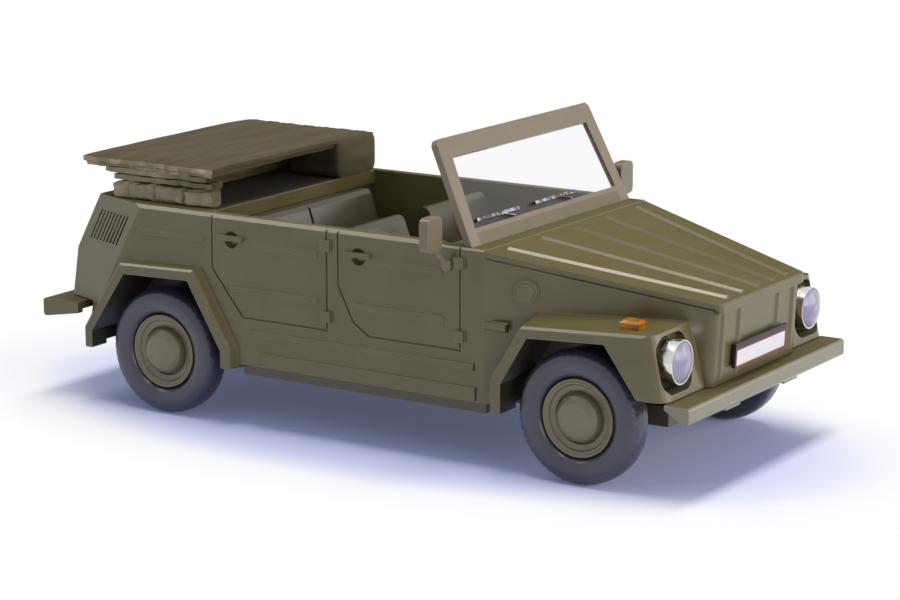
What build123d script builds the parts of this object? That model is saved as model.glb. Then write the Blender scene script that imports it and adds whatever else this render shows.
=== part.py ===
from build123d import *
import os
from math import atan, cos, degrees, radians, sin, tan

os.makedirs("parts", exist_ok=True)

# Main sizes of the model, in millimetres
wheelbase = 27.6
body_half = 8.75
flare_stand = 0.6
belt_z = 12.15
cowl_drop = 0.1
wall = 0.7
fit_clearance = 0.04

# Wheels and axles
tyre_radius = 3.67
tyre_width = 1.8
tyre_tuck = 0.5
rim_radius = 2.15
axle_radius = 0.5
bearing_clearance = 0.06
well_gap = 1.15
liner_wall = 0.5

# Chassis plate and bumpers
chassis_drop = 0.72
chassis_thickness = 1.1
chassis_gap = 0.2
sill_drop = 0.35
flare_foot_drop = 0.25
front_bumper_depth = 1.45
rear_bumper_depth = 2.6
bumper_height = 1.1
bumper_reach = 0.45
bumper_skin = 0.45
bumper_gap = 0.12
bumper_ahead = 1.32
front_bumper_lift = 0.15
rear_bumper_lift = 0.8

# Nose, bonnet and tail
wing_nose = 1.5
wing_rake = 0.7
wing_round = 0.8
wing_band = 0.62
wing_root_rise = 0.33
flare_band = 0.62
flare_flow = 0.43
nose_back = 0.75
nose_half = 4.9
nose_rake = 0.22
nose_round = 0.6
lid_lip = 0.28
lid_thickness = 0.3
lid_rise = 0.95
lid_round = 0.5
lid_step = 0.06
cowl_setback = 5.7
tail_back = 1.1
tail_slope = 1.8
tail_knee_z = 8.8
corner_angle = 20
corner_start = 1.27

# Doors and relief
door_front_gap = 7.2
door_rear_gap = 3.8
pillar_back = 1.72
pillar_half = 0.38
door_low_z = 6.45
seam_width = 0.14
seam_depth = 0.1
relief = 0.12
root = 0.1

# Windscreen
screen_setback = 0.9
scuttle_depth = 1.6
deck_lap = 0.27
screen_rake = 25.5
frame_height = 6.1
frame_inset = 0.25
frame_taper = 0.45
post_base = 0.95
post_top = 0.95
bar_low = 0.95
bar_top = 1.15
frame_thickness = 0.4
pane_thickness = 0.25

# Wheel arches: gap from the tyre at each foot, at each sloped edge and over the axle, with the
# angles of the slopes and the rise of the top edge per millimetre forward
arch_columns = (
    "rear_foot", "rear_slope", "rear_angle", "top", "tilt", "front_slope", "front_angle", "front_foot",
)
front_arch = dict(zip(arch_columns, (0.63, 0.75, 31, 0.6, 0.057, 0.49, 36, 0.43)))
rear_arch = dict(zip(arch_columns, (0.98, 0.62, 34, 0.82, 0.03, 0.75, 31, 1.03)))

# Widths worked out from the body
flare_half = body_half + flare_stand
inner_half = body_half - wall
tyre_outer_y = flare_half - tyre_tuck
wheel_y = tyre_outer_y - tyre_width / 2
arch_inner_y = tyre_outer_y - tyre_width - well_gap
chassis_half = arch_inner_y - liner_wall - chassis_gap
fit_half = inner_half - fit_clearance
bumper_half = body_half + bumper_reach

# Heights worked out from the axle and the belt
axle_z = tyre_radius
cowl_z = belt_z - cowl_drop
chassis_low_z = axle_z - chassis_drop
chassis_high_z = chassis_low_z + chassis_thickness
sill_z = chassis_high_z - sill_drop
flare_foot_z = sill_z - flare_foot_drop
front_bumper_z = (chassis_high_z + front_bumper_lift, chassis_high_z + front_bumper_lift + bumper_height)
rear_bumper_z = (chassis_high_z + rear_bumper_lift, chassis_high_z + rear_bumper_lift + bumper_height)
nose_low_z = front_bumper_z[1] + bumper_gap / 2
tail_low_z = rear_bumper_z[1] + bumper_gap / 2
wing_crest_z = axle_z + tyre_radius + front_arch["top"] + wing_band
wing_root_z = wing_crest_z + wing_root_rise
lid_front_z = wing_root_z + lid_rise
lid_rear_z = cowl_z - lid_step

# Stations along the car, with the middle of its length at zero
wing_ahead = tyre_radius + front_arch["front_foot"] + wing_nose
front_overhang = wing_ahead + bumper_ahead
flare_behind = tyre_radius + rear_arch["rear_foot"] + flare_band + flare_flow
rear_overhang = flare_behind + bumper_gap + rear_bumper_depth
mid = (rear_overhang - front_overhang) / 2
front_axle_x = mid + wheelbase / 2
rear_axle_x = mid - wheelbase / 2
bumper_front_x = front_axle_x + front_overhang
bumper_rear_x = rear_axle_x - rear_overhang
wing_front_x = front_axle_x + wing_ahead
nose_x = bumper_front_x - nose_back
lid_front_x = nose_x + lid_lip
cowl_x = front_axle_x - cowl_setback
screen_x = cowl_x - screen_setback
cabin_front_x = screen_x - scuttle_depth
cabin_rear_x = rear_axle_x + tyre_radius - deck_lap
tail_x = bumper_rear_x + tail_back
tail_top_x = tail_x + tail_slope
door_front_x = front_axle_x - door_front_gap
door_rear_x = rear_axle_x + door_rear_gap
pillar_x = mid - pillar_back
pillar_rear_x = pillar_x - pillar_half
pillar_front_x = pillar_x + pillar_half
cheek_slope = (body_half - nose_half) / (nose_x - cowl_x)
lid_slope = (lid_rear_z - lid_front_z) / (lid_front_x - cowl_x)
rear_slant = tail_slope / (belt_z - tail_knee_z)
far = wheelbase * 2


def prism_y(points, low, high, taper=0):
    face = make_face(Polyline(*[(x, low, z) for x, z in points], close=True))
    return extrude(face, high - low, dir=(0, 1, 0), taper=taper)


def prism_z(points, low, high):
    face = make_face(Polyline(*[(x, y, low) for x, y in points], close=True))
    return extrude(face, high - low, dir=(0, 0, 1))


def prism_x(points, low, high):
    face = make_face(Polyline(*[(low, y, z) for y, z in points], close=True))
    return extrude(face, high - low, dir=(1, 0, 0))


def block(x, y, z):
    return Pos(sum(x) / 2, sum(y) / 2, sum(z) / 2) * Box(x[1] - x[0], y[1] - y[0], z[1] - z[0])


def both_sides(shape):
    return shape + mirror(shape, about=Plane.XZ)


def upright(y):
    return Plane((0, y, 0), x_dir=(1, 0, 0), z_dir=(0, -1, 0))


def cheek_y(x):
    return body_half - (x - cowl_x) * cheek_slope


def lid_z(x):
    return lid_front_z + (lid_front_x - x) * lid_slope


def crest_z(x):
    return wing_crest_z + (x - front_axle_x) * front_arch["tilt"]


def save(shape, name):
    export_step(shape, "parts/" + name + ".step")


def save_pair(shape, name):
    save(shape, name + "_left")
    save(mirror(shape, about=Plane.XZ), name + "_right")


def arch_face(arch, axle_x, grow, y):
    top = tyre_radius + arch["top"]
    points = []
    for side, end in ((-1, "rear"), (1, "front")):
        foot = tyre_radius + arch[end + "_foot"]
        reach = tyre_radius + arch[end + "_slope"]
        angle = radians(arch[end + "_angle"])
        knee_z = axle_z + (reach - foot * cos(angle)) / sin(angle)
        slide = (reach - top * sin(angle)) / (side * cos(angle) + arch["tilt"] * sin(angle))
        foot_x = axle_x + side * foot
        top_end = (axle_x + slide, axle_z + top + arch["tilt"] * slide)
        points += [[(foot_x, -far / 2), (foot_x, knee_z), top_end]]
    face = make_face(Polyline(*points[0], *reversed(points[1]), close=True))
    if grow:
        face = offset(face, grow, kind=Kind.INTERSECTION)
    return upright(y) * face


def arch_prism(arch, axle_x, grow, low, high, taper=0):
    return extrude(arch_face(arch, axle_x, grow, low), high - low, dir=(0, 1, 0), taper=taper)


# Body shell: side view, plan view and cross section cut one another, then the inside is taken out
sill_rear_x = rear_axle_x - flare_behind + 0.5
sill_front_x = front_axle_x - tyre_radius - front_arch["rear_foot"] - 0.2
side_view = [
    (nose_x - nose_rake, nose_low_z),
    (nose_x, lid_z(nose_x) - lid_thickness),
    (cowl_x, lid_rear_z - lid_thickness),
    (cowl_x, cowl_z),
    (cabin_front_x, cowl_z),
    (cabin_front_x - 0.4, belt_z),
    (tail_top_x, belt_z),
    (tail_x, tail_knee_z),
    (tail_x, tail_low_z),
    (sill_rear_x, tail_low_z),
    (sill_rear_x, sill_z),
    (sill_front_x, sill_z),
    (sill_front_x, nose_low_z),
]
side_inside = [
    (nose_x - nose_rake, -far),
    (nose_x - nose_rake, nose_low_z),
    (nose_x, lid_z(nose_x) - lid_thickness),
    (cowl_x, lid_rear_z - lid_thickness),
    (cowl_x, cowl_z),
    (tail_top_x, cowl_z),
    (tail_x, tail_knee_z),
    (tail_x, -far),
]
plan_half = [(nose_x + 1, cheek_y(nose_x + 1)), (cowl_x, body_half), (tail_x - 1, body_half)]
plan_view = plan_half + [(x, -y) for x, y in reversed(plan_half)]
edge_cut = 0.2
section_half = [(body_half, -far), (body_half, belt_z - edge_cut), (body_half - edge_cut, belt_z)]
cross_section = section_half + [(-y, z) for y, z in reversed(section_half)]
crease_x = rear_axle_x - corner_start
rear_lean = Vector(-rear_slant, 0, -1)


def corner_cut(inset):
    run = crease_x - tail_x + 4
    top = belt_z + 1
    start_x = crease_x + rear_slant
    points = [
        (start_x, body_half - inset, top),
        (start_x - run, body_half - inset - run * tan(radians(corner_angle)), top),
        (start_x - run, far, top),
        (start_x, far, top),
    ]
    return both_sides(extrude(make_face(Polyline(*points, close=True)), far, dir=rear_lean))


outer = prism_y(side_view, -far, far) & prism_z(plan_view, -far, far)
outer = outer & prism_x(cross_section, -far, far)
outer = outer - corner_cut(0)
nose_corners = outer.edges().filter_by(lambda e: e.center().X > wing_front_x and e.length > nose_half / 2)
nose_corners = nose_corners.filter_by(lambda e: abs(e.tangent_at(0).Z) > 0.9)
outer = fillet(nose_corners, nose_round)

inside_side = offset(make_face(Polyline(*side_inside, close=True)), -wall, kind=Kind.INTERSECTION)
inside_plan = offset(make_face(Polyline(*plan_view, close=True)), -wall, kind=Kind.INTERSECTION)
hollow = extrude(upright(0) * inside_side, far, dir=(0, 1, 0), both=True)
hollow = hollow & extrude(inside_plan, far, dir=(0, 0, 1), both=True)
hollow = hollow - corner_cut(wall / cos(radians(corner_angle)))

# Front wings: ruled from the cheek line out to the crest, with a raked front that turns a round corner
wing_rear_x = front_axle_x - tyre_radius - front_arch["rear_foot"] - wing_band
edge_break = 0.14


def wing_section(x):
    inner = cheek_y(x) - wall * 0.8
    crest = crest_z(x)
    points = [
        (x, inner, 0),
        (x, flare_half, 0),
        (x, flare_half, crest - edge_break),
        (x, flare_half - edge_break, crest),
        (x, cheek_y(x), wing_root_z),
        (x, inner, wing_root_z),
    ]
    return make_face(Polyline(*points, close=True))


wing = loft([wing_section(wing_rear_x), wing_section(wing_front_x)], ruled=True)
wing_plan = make_face(
    Polyline(
        (cowl_x, 0),
        (wing_front_x, 0),
        (wing_front_x, flare_half),
        (cowl_x, flare_half),
        close=True,
    )
)
wing_corner = wing_plan.vertices().sort_by(Axis.X)[-2:].sort_by(Axis.Y)[-1]
wing_lean = Vector(-wing_rake, 0, wing_crest_z - nose_low_z)
wing_front = Pos(0, 0, nose_low_z) * fillet(wing_corner, wing_round)
wing = wing & extrude(wing_front, far, dir=wing_lean, both=True)
rear_edge = arch_face(front_arch, front_axle_x, wing_band, 0).vertices().filter_by(lambda v: v.Z > 0)
rear_edge = sorted(((v.X, v.Z) for v in rear_edge), key=lambda p: p[0])[:2]
rise = (rear_edge[1][0] - rear_edge[0][0]) / (rear_edge[1][1] - rear_edge[0][1])
wing_side = [
    (rear_edge[0][0], 0),
    rear_edge[0],
    (rear_edge[0][0] + rise * (far - rear_edge[0][1]), far),
    (far, far),
    (far, nose_low_z),
    (front_axle_x, nose_low_z),
    (front_axle_x, 0),
]
wing = wing & prism_y(wing_side, 0, far)
wing = wing - block((-far, far), (0, far), (-far, flare_foot_z))

# Rear flares: they run in to the body at a slope, with a broken outer edge
flare_rise = flare_half - inner_half - edge_break
flare_taper = degrees(atan(flare_flow / flare_rise))
flare_low = inner_half
flare_high = flare_half - edge_break
flare = arch_prism(rear_arch, rear_axle_x, flare_band + flare_flow, flare_low, flare_high, flare_taper)
flare = flare + arch_prism(rear_arch, rear_axle_x, flare_band, flare_high, flare_half, 40)
flare = flare - block((-far, far), (0, far), (-far, flare_foot_z))

liner_y = arch_inner_y - liner_wall
liners = arch_prism(front_arch, front_axle_x, liner_wall, liner_y, far)
liners = liners + arch_prism(rear_arch, rear_axle_x, liner_wall, liner_y, far)
wells = arch_prism(front_arch, front_axle_x, 0, arch_inner_y, far)
wells = wells + arch_prism(rear_arch, rear_axle_x, 0, arch_inner_y, far)

shell = outer + both_sides(wing + flare)
shell = shell - (hollow - both_sides(liners))
shell = shell - both_sides(wells)
axle_room = 1.4
for axle_x in (front_axle_x, rear_axle_x):
    room_x = (axle_x - tyre_radius, axle_x + tyre_radius)
    shell = shell - block(room_x, (-arch_inner_y, arch_inner_y), (-far, axle_z + axle_room))
shell = shell - block((cabin_rear_x, cabin_front_x), (-inner_half, inner_half), (cowl_z - wall, far))

# Rocker step and raised bands on the sides
rocker_high = 0.92
upper_band_z = belt_z - 1.8
lower_band_z = door_low_z + 1.3
sill_band_z = sill_z + 1.65
band_height = 0.55
band_columns = ("start", "end", "low", "height")
bands = [
    (rear_axle_x + 7.2, front_axle_x - 6.1, sill_z, rocker_high),
    (rear_axle_x + 6.5, front_axle_x - 6.2, sill_band_z, band_height),
    (door_rear_x + 2.4, pillar_rear_x - 0.5, upper_band_z, band_height),
    (door_rear_x + 1.3, pillar_rear_x - 0.5, lower_band_z, band_height),
    (pillar_front_x + 2.4, door_front_x - 1.0, upper_band_z, band_height),
    (pillar_front_x + 1.2, door_front_x - 0.9, lower_band_z, band_height),
    (crease_x - 0.3, door_rear_x - 0.5, upper_band_z, band_height),
    (door_front_x + 1.4, door_front_x + 3.0, lower_band_z, band_height),
]
for band in bands:
    size = dict(zip(band_columns, band))
    high = size["low"] + size["height"]
    outline = [
        (size["start"], size["low"]),
        (size["end"], size["low"]),
        (size["end"], high),
        (size["start"], high),
    ]
    shell = shell + both_sides(prism_y(outline, body_half - root, body_half + relief, 25))

# Door seams, hinges and handles
door_knee_z = door_low_z + 2.6
door_top_z = belt_z + 1
rear_door_seam = [
    (door_rear_x, door_top_z),
    (door_rear_x, door_knee_z),
    (door_rear_x + 2.1, door_low_z),
    (pillar_rear_x, door_low_z),
    (pillar_rear_x, door_top_z),
]
front_door_seam = [
    (pillar_front_x, door_top_z),
    (pillar_front_x, door_knee_z),
    (pillar_front_x + 1.0, door_low_z + 0.65),
    (pillar_front_x + 2.0, door_low_z),
    (door_front_x, door_low_z),
    (door_front_x, door_top_z),
]
for points in (rear_door_seam, front_door_seam):
    line = trace(Polyline(*points), seam_width)
    groove = extrude(upright(body_half - seam_depth) * line, 2, dir=(0, 1, 0))
    shell = shell - both_sides(groove)

hinge_high_z = belt_z - 0.95
hinge_low_z = door_low_z + 0.75
hinge_half = 0.3
hinge_face_y = body_half + 0.2
for edge_x in (pillar_rear_x, door_front_x):
    for hinge_z in (hinge_high_z, hinge_low_z):
        hinge_x = (edge_x - hinge_half, edge_x + hinge_half)
        hinge_span = (hinge_z - hinge_half, hinge_z + hinge_half)
        shell = shell + both_sides(block(hinge_x, (body_half - root, hinge_face_y), hinge_span))

handle_length = 1.7
handle_back = 0.5
cup_radius = 0.5
cup_depth = 0.3
cup_slope = 0.2
cup_sides = 16
cup_taper = degrees(atan(cup_slope / cup_depth))
handle_z = belt_z - 1.35
for edge_x in (door_rear_x, pillar_front_x):
    cup_x = edge_x + handle_back + handle_length / 2
    cup = Pos(cup_x, handle_z) * RegularPolygon(cup_radius + cup_slope, cup_sides)
    cup = extrude(upright(body_half + cup_depth) * cup, 2 * cup_depth, dir=(0, -1, 0), taper=cup_taper)
    shell = shell - both_sides(cup)
    grip_x = (edge_x + handle_back, edge_x + handle_back + handle_length)
    shell = shell + both_sides(
        block(grip_x, (body_half - root, body_half + 0.22), (handle_z - 0.02, handle_z + 0.24))
    )

# Bonnet lid with its lip and five beads that run together to the nose
lid_side = [
    (cowl_x, lid_rear_z - lid_thickness),
    (lid_front_x, lid_front_z - lid_thickness),
    (lid_front_x, lid_front_z - root),
    (lid_front_x - root, lid_front_z),
    (cowl_x, lid_rear_z),
]
lid_grow = 0.12
lip_half = cheek_y(lid_front_x) + lid_grow
lid_half = [(cowl_x, body_half - 0.03), (lid_front_x, lip_half)]
lid_plan = lid_half + [(x, -y) for x, y in reversed(lid_half)]
lid = prism_y(lid_side, -far, far)
lip_height = 0.5
lip_z = (lid_front_z - lip_height, lid_front_z - lid_thickness + root)
lid = lid + block((nose_x - root, lid_front_x), (-lip_half, lip_half), lip_z)
lid_face = make_face(Polyline(*lid_plan, close=True))
lid_face = fillet(lid_face.vertices().sort_by(Axis.X)[-2:], lid_round)
lid = lid & extrude(lid_face, far, dir=(0, 0, 1))
bead_height = 0.13
bead_half = 0.24
bead_crest = 0.07
bead_rear_x = cowl_x + 0.5
bead_front_x = lid_front_x - 0.4
bead_rear_reach = body_half - 1.75
bead_front_reach = nose_half - 1.5


def bead_section(x, y):
    right = [(bead_half, -root), (bead_half, 0), (bead_crest, bead_height)]
    outline = right + [(-w, h) for w, h in reversed(right)]
    return make_face(Polyline(*[(x, y + w, lid_z(x) + h) for w, h in outline], close=True))


for share in (-1, -0.5, 0, 0.5, 1):
    rear_end = bead_section(bead_rear_x, share * bead_rear_reach)
    front_end = bead_section(bead_front_x, share * bead_front_reach)
    lid = lid + loft([rear_end, front_end], ruled=True)
lid_gap = 0.12
gap_side = [
    (cowl_x, lid_rear_z - lid_thickness - lid_gap),
    (nose_x, lid_z(nose_x) - lid_thickness - lid_gap),
    (nose_x, lid_z(nose_x) - lid_thickness),
    (cowl_x, lid_rear_z - lid_thickness),
]
gap_plan = offset(make_face(Polyline(*plan_view, close=True)), -lid_gap, kind=Kind.INTERSECTION)
shell = shell - (prism_y(gap_side, -far, far) - extrude(gap_plan, far, dir=(0, 0, 1)))
shell = shell + lid

# Ribs on the nose panel


def nose_line(z):
    top = lid_z(nose_x) - lid_thickness
    return nose_x - nose_rake * (top - z) / (top - nose_low_z)


rib_low_z = nose_low_z + 0.25
rib_high_z = lid_front_z - lip_height - 0.1
rib_half = 0.2
rib_foot = 0.32
rib_crest = 0.1
rib_outer_y = nose_half - 0.8
rib_inner_y = nose_half - 2.65


def rib_section(y, z):
    right = [(-root, rib_foot), (0, rib_foot), (relief, rib_crest)]
    outline = right + [(d, -w) for d, w in reversed(right)]
    return make_face(Polyline(*[(nose_line(z) + d, y + w, z) for d, w in outline], close=True))


for rib_y in (rib_inner_y, rib_outer_y):
    rib = loft([rib_section(rib_y, rib_low_z), rib_section(rib_y, rib_high_z)], ruled=True)
    shell = shell + both_sides(rib)

# Engine lid on the tail with its beads


def tail_line(z):
    return tail_x + max(0, z - tail_knee_z) * rear_slant


engine_low_z = tail_low_z + 0.45
engine_high_z = belt_z - 0.55
engine_half = body_half - 4.15


def tail_slab(height, trim):
    return [
        (tail_line(engine_low_z) + root, engine_low_z + trim),
        (tail_line(engine_low_z) - height, engine_low_z + trim),
        (tail_line(tail_knee_z) - height, tail_knee_z),
        (tail_line(engine_high_z - trim) - height, engine_high_z - trim),
        (tail_line(engine_high_z - trim) + root, engine_high_z - trim),
    ]


shell = shell + prism_y(tail_slab(relief, 0), -engine_half, engine_half)
for share in (-0.6, 0, 0.6):
    rib_y = share * engine_half
    shell = shell + prism_y(tail_slab(2 * relief, 0.5), rib_y - rib_half, rib_y + rib_half)

# Air intake slots in the rear corners
slot_count = 9
slot_pitch = 0.36
slot_first = 0.75
slot_half = 0.08
slot_depth = 0.15
slot_top_z = belt_z - 0.85
slot_drop = 1.8
slot_start_x = crease_x - rear_slant * (belt_z - slot_top_z)
along = Vector(-cos(radians(corner_angle)), -sin(radians(corner_angle)), 0)
inward = Vector(sin(radians(corner_angle)), -cos(radians(corner_angle)), 0)
for number in range(slot_count):
    centre = Vector(slot_start_x, body_half, slot_top_z) + along * (slot_first + number * slot_pitch)
    corners = [
        centre - along * slot_half - inward,
        centre + along * slot_half - inward,
        centre + along * slot_half + inward * slot_depth,
        centre - along * slot_half + inward * slot_depth,
    ]
    slot = extrude(make_face(Polyline(*corners, close=True)), slot_drop * rear_lean.length, dir=rear_lean)
    shell = shell - both_sides(slot)

# Fuel filler cap on the right cheek
cap_radius = 0.65
cap_sides = 24
cap_back = 3.5
cap_drop = 2.05
cap_x = front_axle_x - cap_back
cap_turn = atan(cheek_slope)
cap_plane = Plane(
    (cap_x, -cheek_y(cap_x), lid_rear_z - cap_drop),
    x_dir=(0, 0, 1),
    z_dir=(sin(cap_turn), -cos(cap_turn), 0),
)
for radius, rise in ((cap_radius, 0.25), (cap_radius - 0.2, 0.4)):
    step = Pos(0, 0, -root) * RegularPolygon(radius, cap_sides)
    shell = shell + cap_plane * extrude(step, root + rise)

# Lamp pockets in the front wings
lamp_radius = 1.22
lamp_inset = 1.8
lamp_drop = 1.32
pocket_half = 1.5
pocket_round = 0.8
pocket_drop = 0.08
pocket_depth = 1.15
lamp_y = flare_half - lamp_inset
lamp_z = wing_crest_z - lamp_drop
pocket_x = wing_front_x - pocket_depth
barrel_x = pocket_x - 0.5
lamp_plane = Plane((0, lamp_y, lamp_z), x_dir=(0, 1, 0), z_dir=(1, 0, 0))


def lamp_disc(radius, low, high):
    return lamp_plane * (Pos(0, 0, (low + high) / 2) * Cylinder(radius, high - low))


pocket = Pos(0, -pocket_drop, pocket_x) * RectangleRounded(2 * pocket_half, 2 * pocket_half, pocket_round)
pocket = lamp_plane * extrude(pocket, 2 * pocket_depth)
pocket = pocket + lamp_disc(lamp_radius, barrel_x, wing_front_x)
shell = shell - both_sides(pocket)
save(shell, "body_shell")

# Chassis plate with bearing lugs and shallow floor panels on the underside
lug_width = 1.6
lug_half = 1.1
lug_rise = 1.08
slot_side = 0.8
plate_edge = 0.1
chassis_behind = 0.73
chassis_short = 0.07
wide_short = 0.3
chassis_x = (rear_axle_x - tyre_radius - chassis_behind, front_axle_x + tyre_radius - chassis_short)
wide_ahead = tyre_radius + rear_arch["front_foot"] + liner_wall + chassis_gap
wide_x = (rear_axle_x + wide_ahead, cowl_x - wide_short)
chassis_z = (chassis_low_z, chassis_high_z)
chassis = block(chassis_x, (-chassis_half, chassis_half), chassis_z)
chassis = chassis + block(wide_x, (-fit_half, fit_half), chassis_z)
for axle_x in (front_axle_x, rear_axle_x):
    slot_x = (axle_x - slot_side, axle_x + slot_side)
    chassis = chassis - block(slot_x, (-far, far), (chassis_low_z + plate_edge, far))
    lug_x = (axle_x - lug_half, axle_x + lug_half)
    lug = block(lug_x, (chassis_half - lug_width, chassis_half), (chassis_low_z, axle_z + lug_rise))
    chassis = chassis + both_sides(lug)
    bore = Pos(axle_x, 0, axle_z) * Rot(90, 0, 0) * Cylinder(axle_radius + bearing_clearance, far)
    chassis = chassis - bore
spine_half = 1.0
panel_depth = 0.2
panel_count = 2
panel_rib = 0.8
panel_length = (wide_x[1] - wide_x[0] - panel_rib) / panel_count - panel_rib
for number in range(panel_count):
    panel_start = wide_x[0] + panel_rib + number * (panel_length + panel_rib)
    panel_x = (panel_start, panel_start + panel_length)
    panel_z = (chassis_low_z - 1, chassis_low_z + panel_depth)
    chassis = chassis - both_sides(block(panel_x, (spine_half, fit_half - panel_rib), panel_z))
save(chassis, "chassis_plate")

# Cabin tub: floor, tunnel with the gear lever, seat box and the two end walls
floor_thickness = 0.6
tub_wall = 0.6
tunnel_half = 1.0
tunnel_rise = 1.2
lever_radius = 0.16
lever_length = 2.2
lever_ahead = 4.6
bulkhead_back = 0.1
box_drop = 0.34
box_ahead = 8.2
liner_clear = 0.3
floor_z = chassis_high_z + floor_thickness
tub_front_x = cowl_x - wall - tub_wall - fit_clearance
cowl_under_z = cowl_z - wall
bulkhead_x = cabin_rear_x - bulkhead_back
liner_top_z = axle_z + tyre_radius * (1 + rear_arch["tilt"]) + rear_arch["top"] + liner_wall
box_high_z = axle_z + tyre_radius - box_drop
box_front_x = rear_axle_x + box_ahead
floor_span_z = (chassis_high_z, floor_z)
tub = block((wide_x[0], tub_front_x + tub_wall), (-fit_half, fit_half), floor_span_z)
tub = tub + block((bulkhead_x - tub_wall, wide_x[0]), (-chassis_half, chassis_half), floor_span_z)
tub = tub + block((tub_front_x, tub_front_x + tub_wall), (-fit_half, fit_half), (floor_z, cowl_under_z))
tub = tub + block((bulkhead_x, box_front_x), (-chassis_half, chassis_half), (floor_z, box_high_z))
tub = tub + block((box_front_x, tub_front_x), (-tunnel_half, tunnel_half), (floor_z, floor_z + tunnel_rise))
back_half = [
    (chassis_half, chassis_high_z),
    (chassis_half, liner_top_z + liner_clear),
    (fit_half, liner_top_z + liner_clear),
    (fit_half, cowl_under_z),
]
back_wall = back_half + [(-y, z) for y, z in reversed(back_half)]
tub = tub + prism_x(back_wall, bulkhead_x - tub_wall, bulkhead_x)
lever_plane = Plane((pillar_x + lever_ahead, 0, floor_z + tunnel_rise), z_dir=(-0.3, 0, 1))
tub = tub + lever_plane * (Pos(0, 0, lever_length / 2 - root) * Cylinder(lever_radius, lever_length))
save(tub, "cabin_tub")

# Rear bench and front seats: one side view each, with broken edges
bench_gap = 1.65
bench_rise = 1.6
bench_drop = 0.85
bench_lean = 0.8
bench_depth = 1.0
bench_foot = 0.6
bench_nose = 0.4
bench_crown = 0.1
seat_break = 0.25
split_half = 0.1
split_depth = 0.15
bench_half = inner_half - bench_gap
bench_seat_z = box_high_z + bench_rise
bench_back_z = belt_z - bench_drop
bench_face_x = bulkhead_x + bench_depth
bench_nose_x = box_front_x + bench_nose
bench_side = [
    (bulkhead_x + bench_foot, box_high_z),
    (bulkhead_x, liner_top_z + liner_clear),
    (bulkhead_x, bench_back_z),
    (bench_face_x - seat_break, bench_back_z),
    (bench_face_x, bench_back_z - seat_break),
    (bench_face_x + bench_lean, bench_seat_z),
    (bench_nose_x - seat_break, bench_seat_z + bench_crown),
    (bench_nose_x, bench_seat_z + bench_crown - seat_break),
    (bench_nose_x, box_high_z),
]
bench = prism_y(bench_side, -bench_half, bench_half)
split_side = [
    (bench_face_x - split_depth, bench_back_z),
    (bench_face_x - split_depth, bench_back_z - seat_break),
    (bench_face_x + bench_lean - split_depth, bench_seat_z - split_depth),
    (bench_nose_x, bench_seat_z + bench_crown - split_depth),
    (bench_nose_x, bench_back_z),
]
bench = bench - prism_y(split_side, -split_half, split_half)
save(bench, "rear_bench")

seat_in_y = 1.3
seat_gap = 0.95
seat_rise = 1.65
seat_drop = 0.45
seat_heel = 0.7
seat_hip = 0.2
seat_lean = 1.0
seat_crown = 0.8
seat_lap = 1.3
seat_front = 5.0
hip_rise = 1.0
lap_rise = 1.2
knee_rise = 1.4
stand_rear = 1.2
stand_front = 4.4
stand_inset = 0.8
seat_out_y = inner_half - seat_gap
seat_low_z = floor_z + seat_rise
seat_top_z = belt_z - seat_drop
seat_back_x = pillar_x - seat_lean
seat_front_x = pillar_x + seat_front
seat_side = [
    (pillar_x + seat_heel, seat_low_z),
    (pillar_x + seat_hip, seat_low_z + hip_rise),
    (seat_back_x, seat_top_z - seat_break),
    (seat_back_x + seat_break, seat_top_z),
    (seat_back_x + seat_crown - seat_break, seat_top_z),
    (seat_back_x + seat_crown, seat_top_z - seat_break),
    (pillar_x + seat_lap, seat_low_z + lap_rise),
    (seat_front_x - seat_break, seat_low_z + knee_rise),
    (seat_front_x, seat_low_z + knee_rise - seat_break),
    (seat_front_x, seat_low_z),
]
seat = prism_y(seat_side, seat_in_y, seat_out_y)
stand_x = (pillar_x + stand_rear, pillar_x + stand_front)
seat = seat + block(stand_x, (seat_in_y + stand_inset, seat_out_y - stand_inset), (floor_z, seat_low_z))
save_pair(seat, "front_seat")

# Dashboard with its hood, column and steering wheel
dash_depth = 1.4
dash_height = 1.95
dash_hood = 0.2
dash_knee = 0.75
dash_tuck = 0.25
dash_side = [
    (tub_front_x, cowl_under_z - dash_height),
    (tub_front_x, cowl_under_z),
    (tub_front_x - dash_depth, cowl_under_z),
    (tub_front_x - dash_depth, cowl_under_z - dash_hood),
    (tub_front_x - dash_depth + dash_tuck, cowl_under_z - dash_height + dash_knee),
]
dash = prism_y(dash_side, -fit_half, fit_half)
steer_y = (seat_in_y + seat_out_y) / 2
steer_radius = 1.9
steer_tilt = 35
steer_back = 3.6
steer_drop = 1.25
steer_x = tub_front_x - steer_back
steer_z = cowl_under_z - steer_drop
rim_tube = 0.17
steer_hub = 0.4
column_radius = 0.22
column_length = 4.4
steer_plane = Plane(
    (steer_x, steer_y, steer_z),
    x_dir=(0, 1, 0),
    z_dir=(-cos(radians(steer_tilt)), 0, sin(radians(steer_tilt))),
)
ring_sides = 24
steer_bore = RegularPolygon(steer_radius - rim_tube, ring_sides)
steering = extrude(RegularPolygon(steer_radius + rim_tube, ring_sides) - steer_bore, rim_tube, both=True)
steering = steering + extrude(RegularPolygon(steer_hub, 8), steer_hub / 2, both=True)
for angle in (90, 210, 330):
    spoke = Pos(steer_radius / 2, 0, 0) * Box(steer_radius, rim_tube * 1.4, rim_tube)
    steering = steering + Rot(0, 0, angle) * spoke
steering = steering + extrude(RegularPolygon(column_radius, 6), -column_length)
steering = steer_plane * steering
steering = steering - dash - block((tub_front_x - root, far), (-far, far), (-far, far))
save(dash, "dashboard")
save(steering, "steering_wheel")

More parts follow.
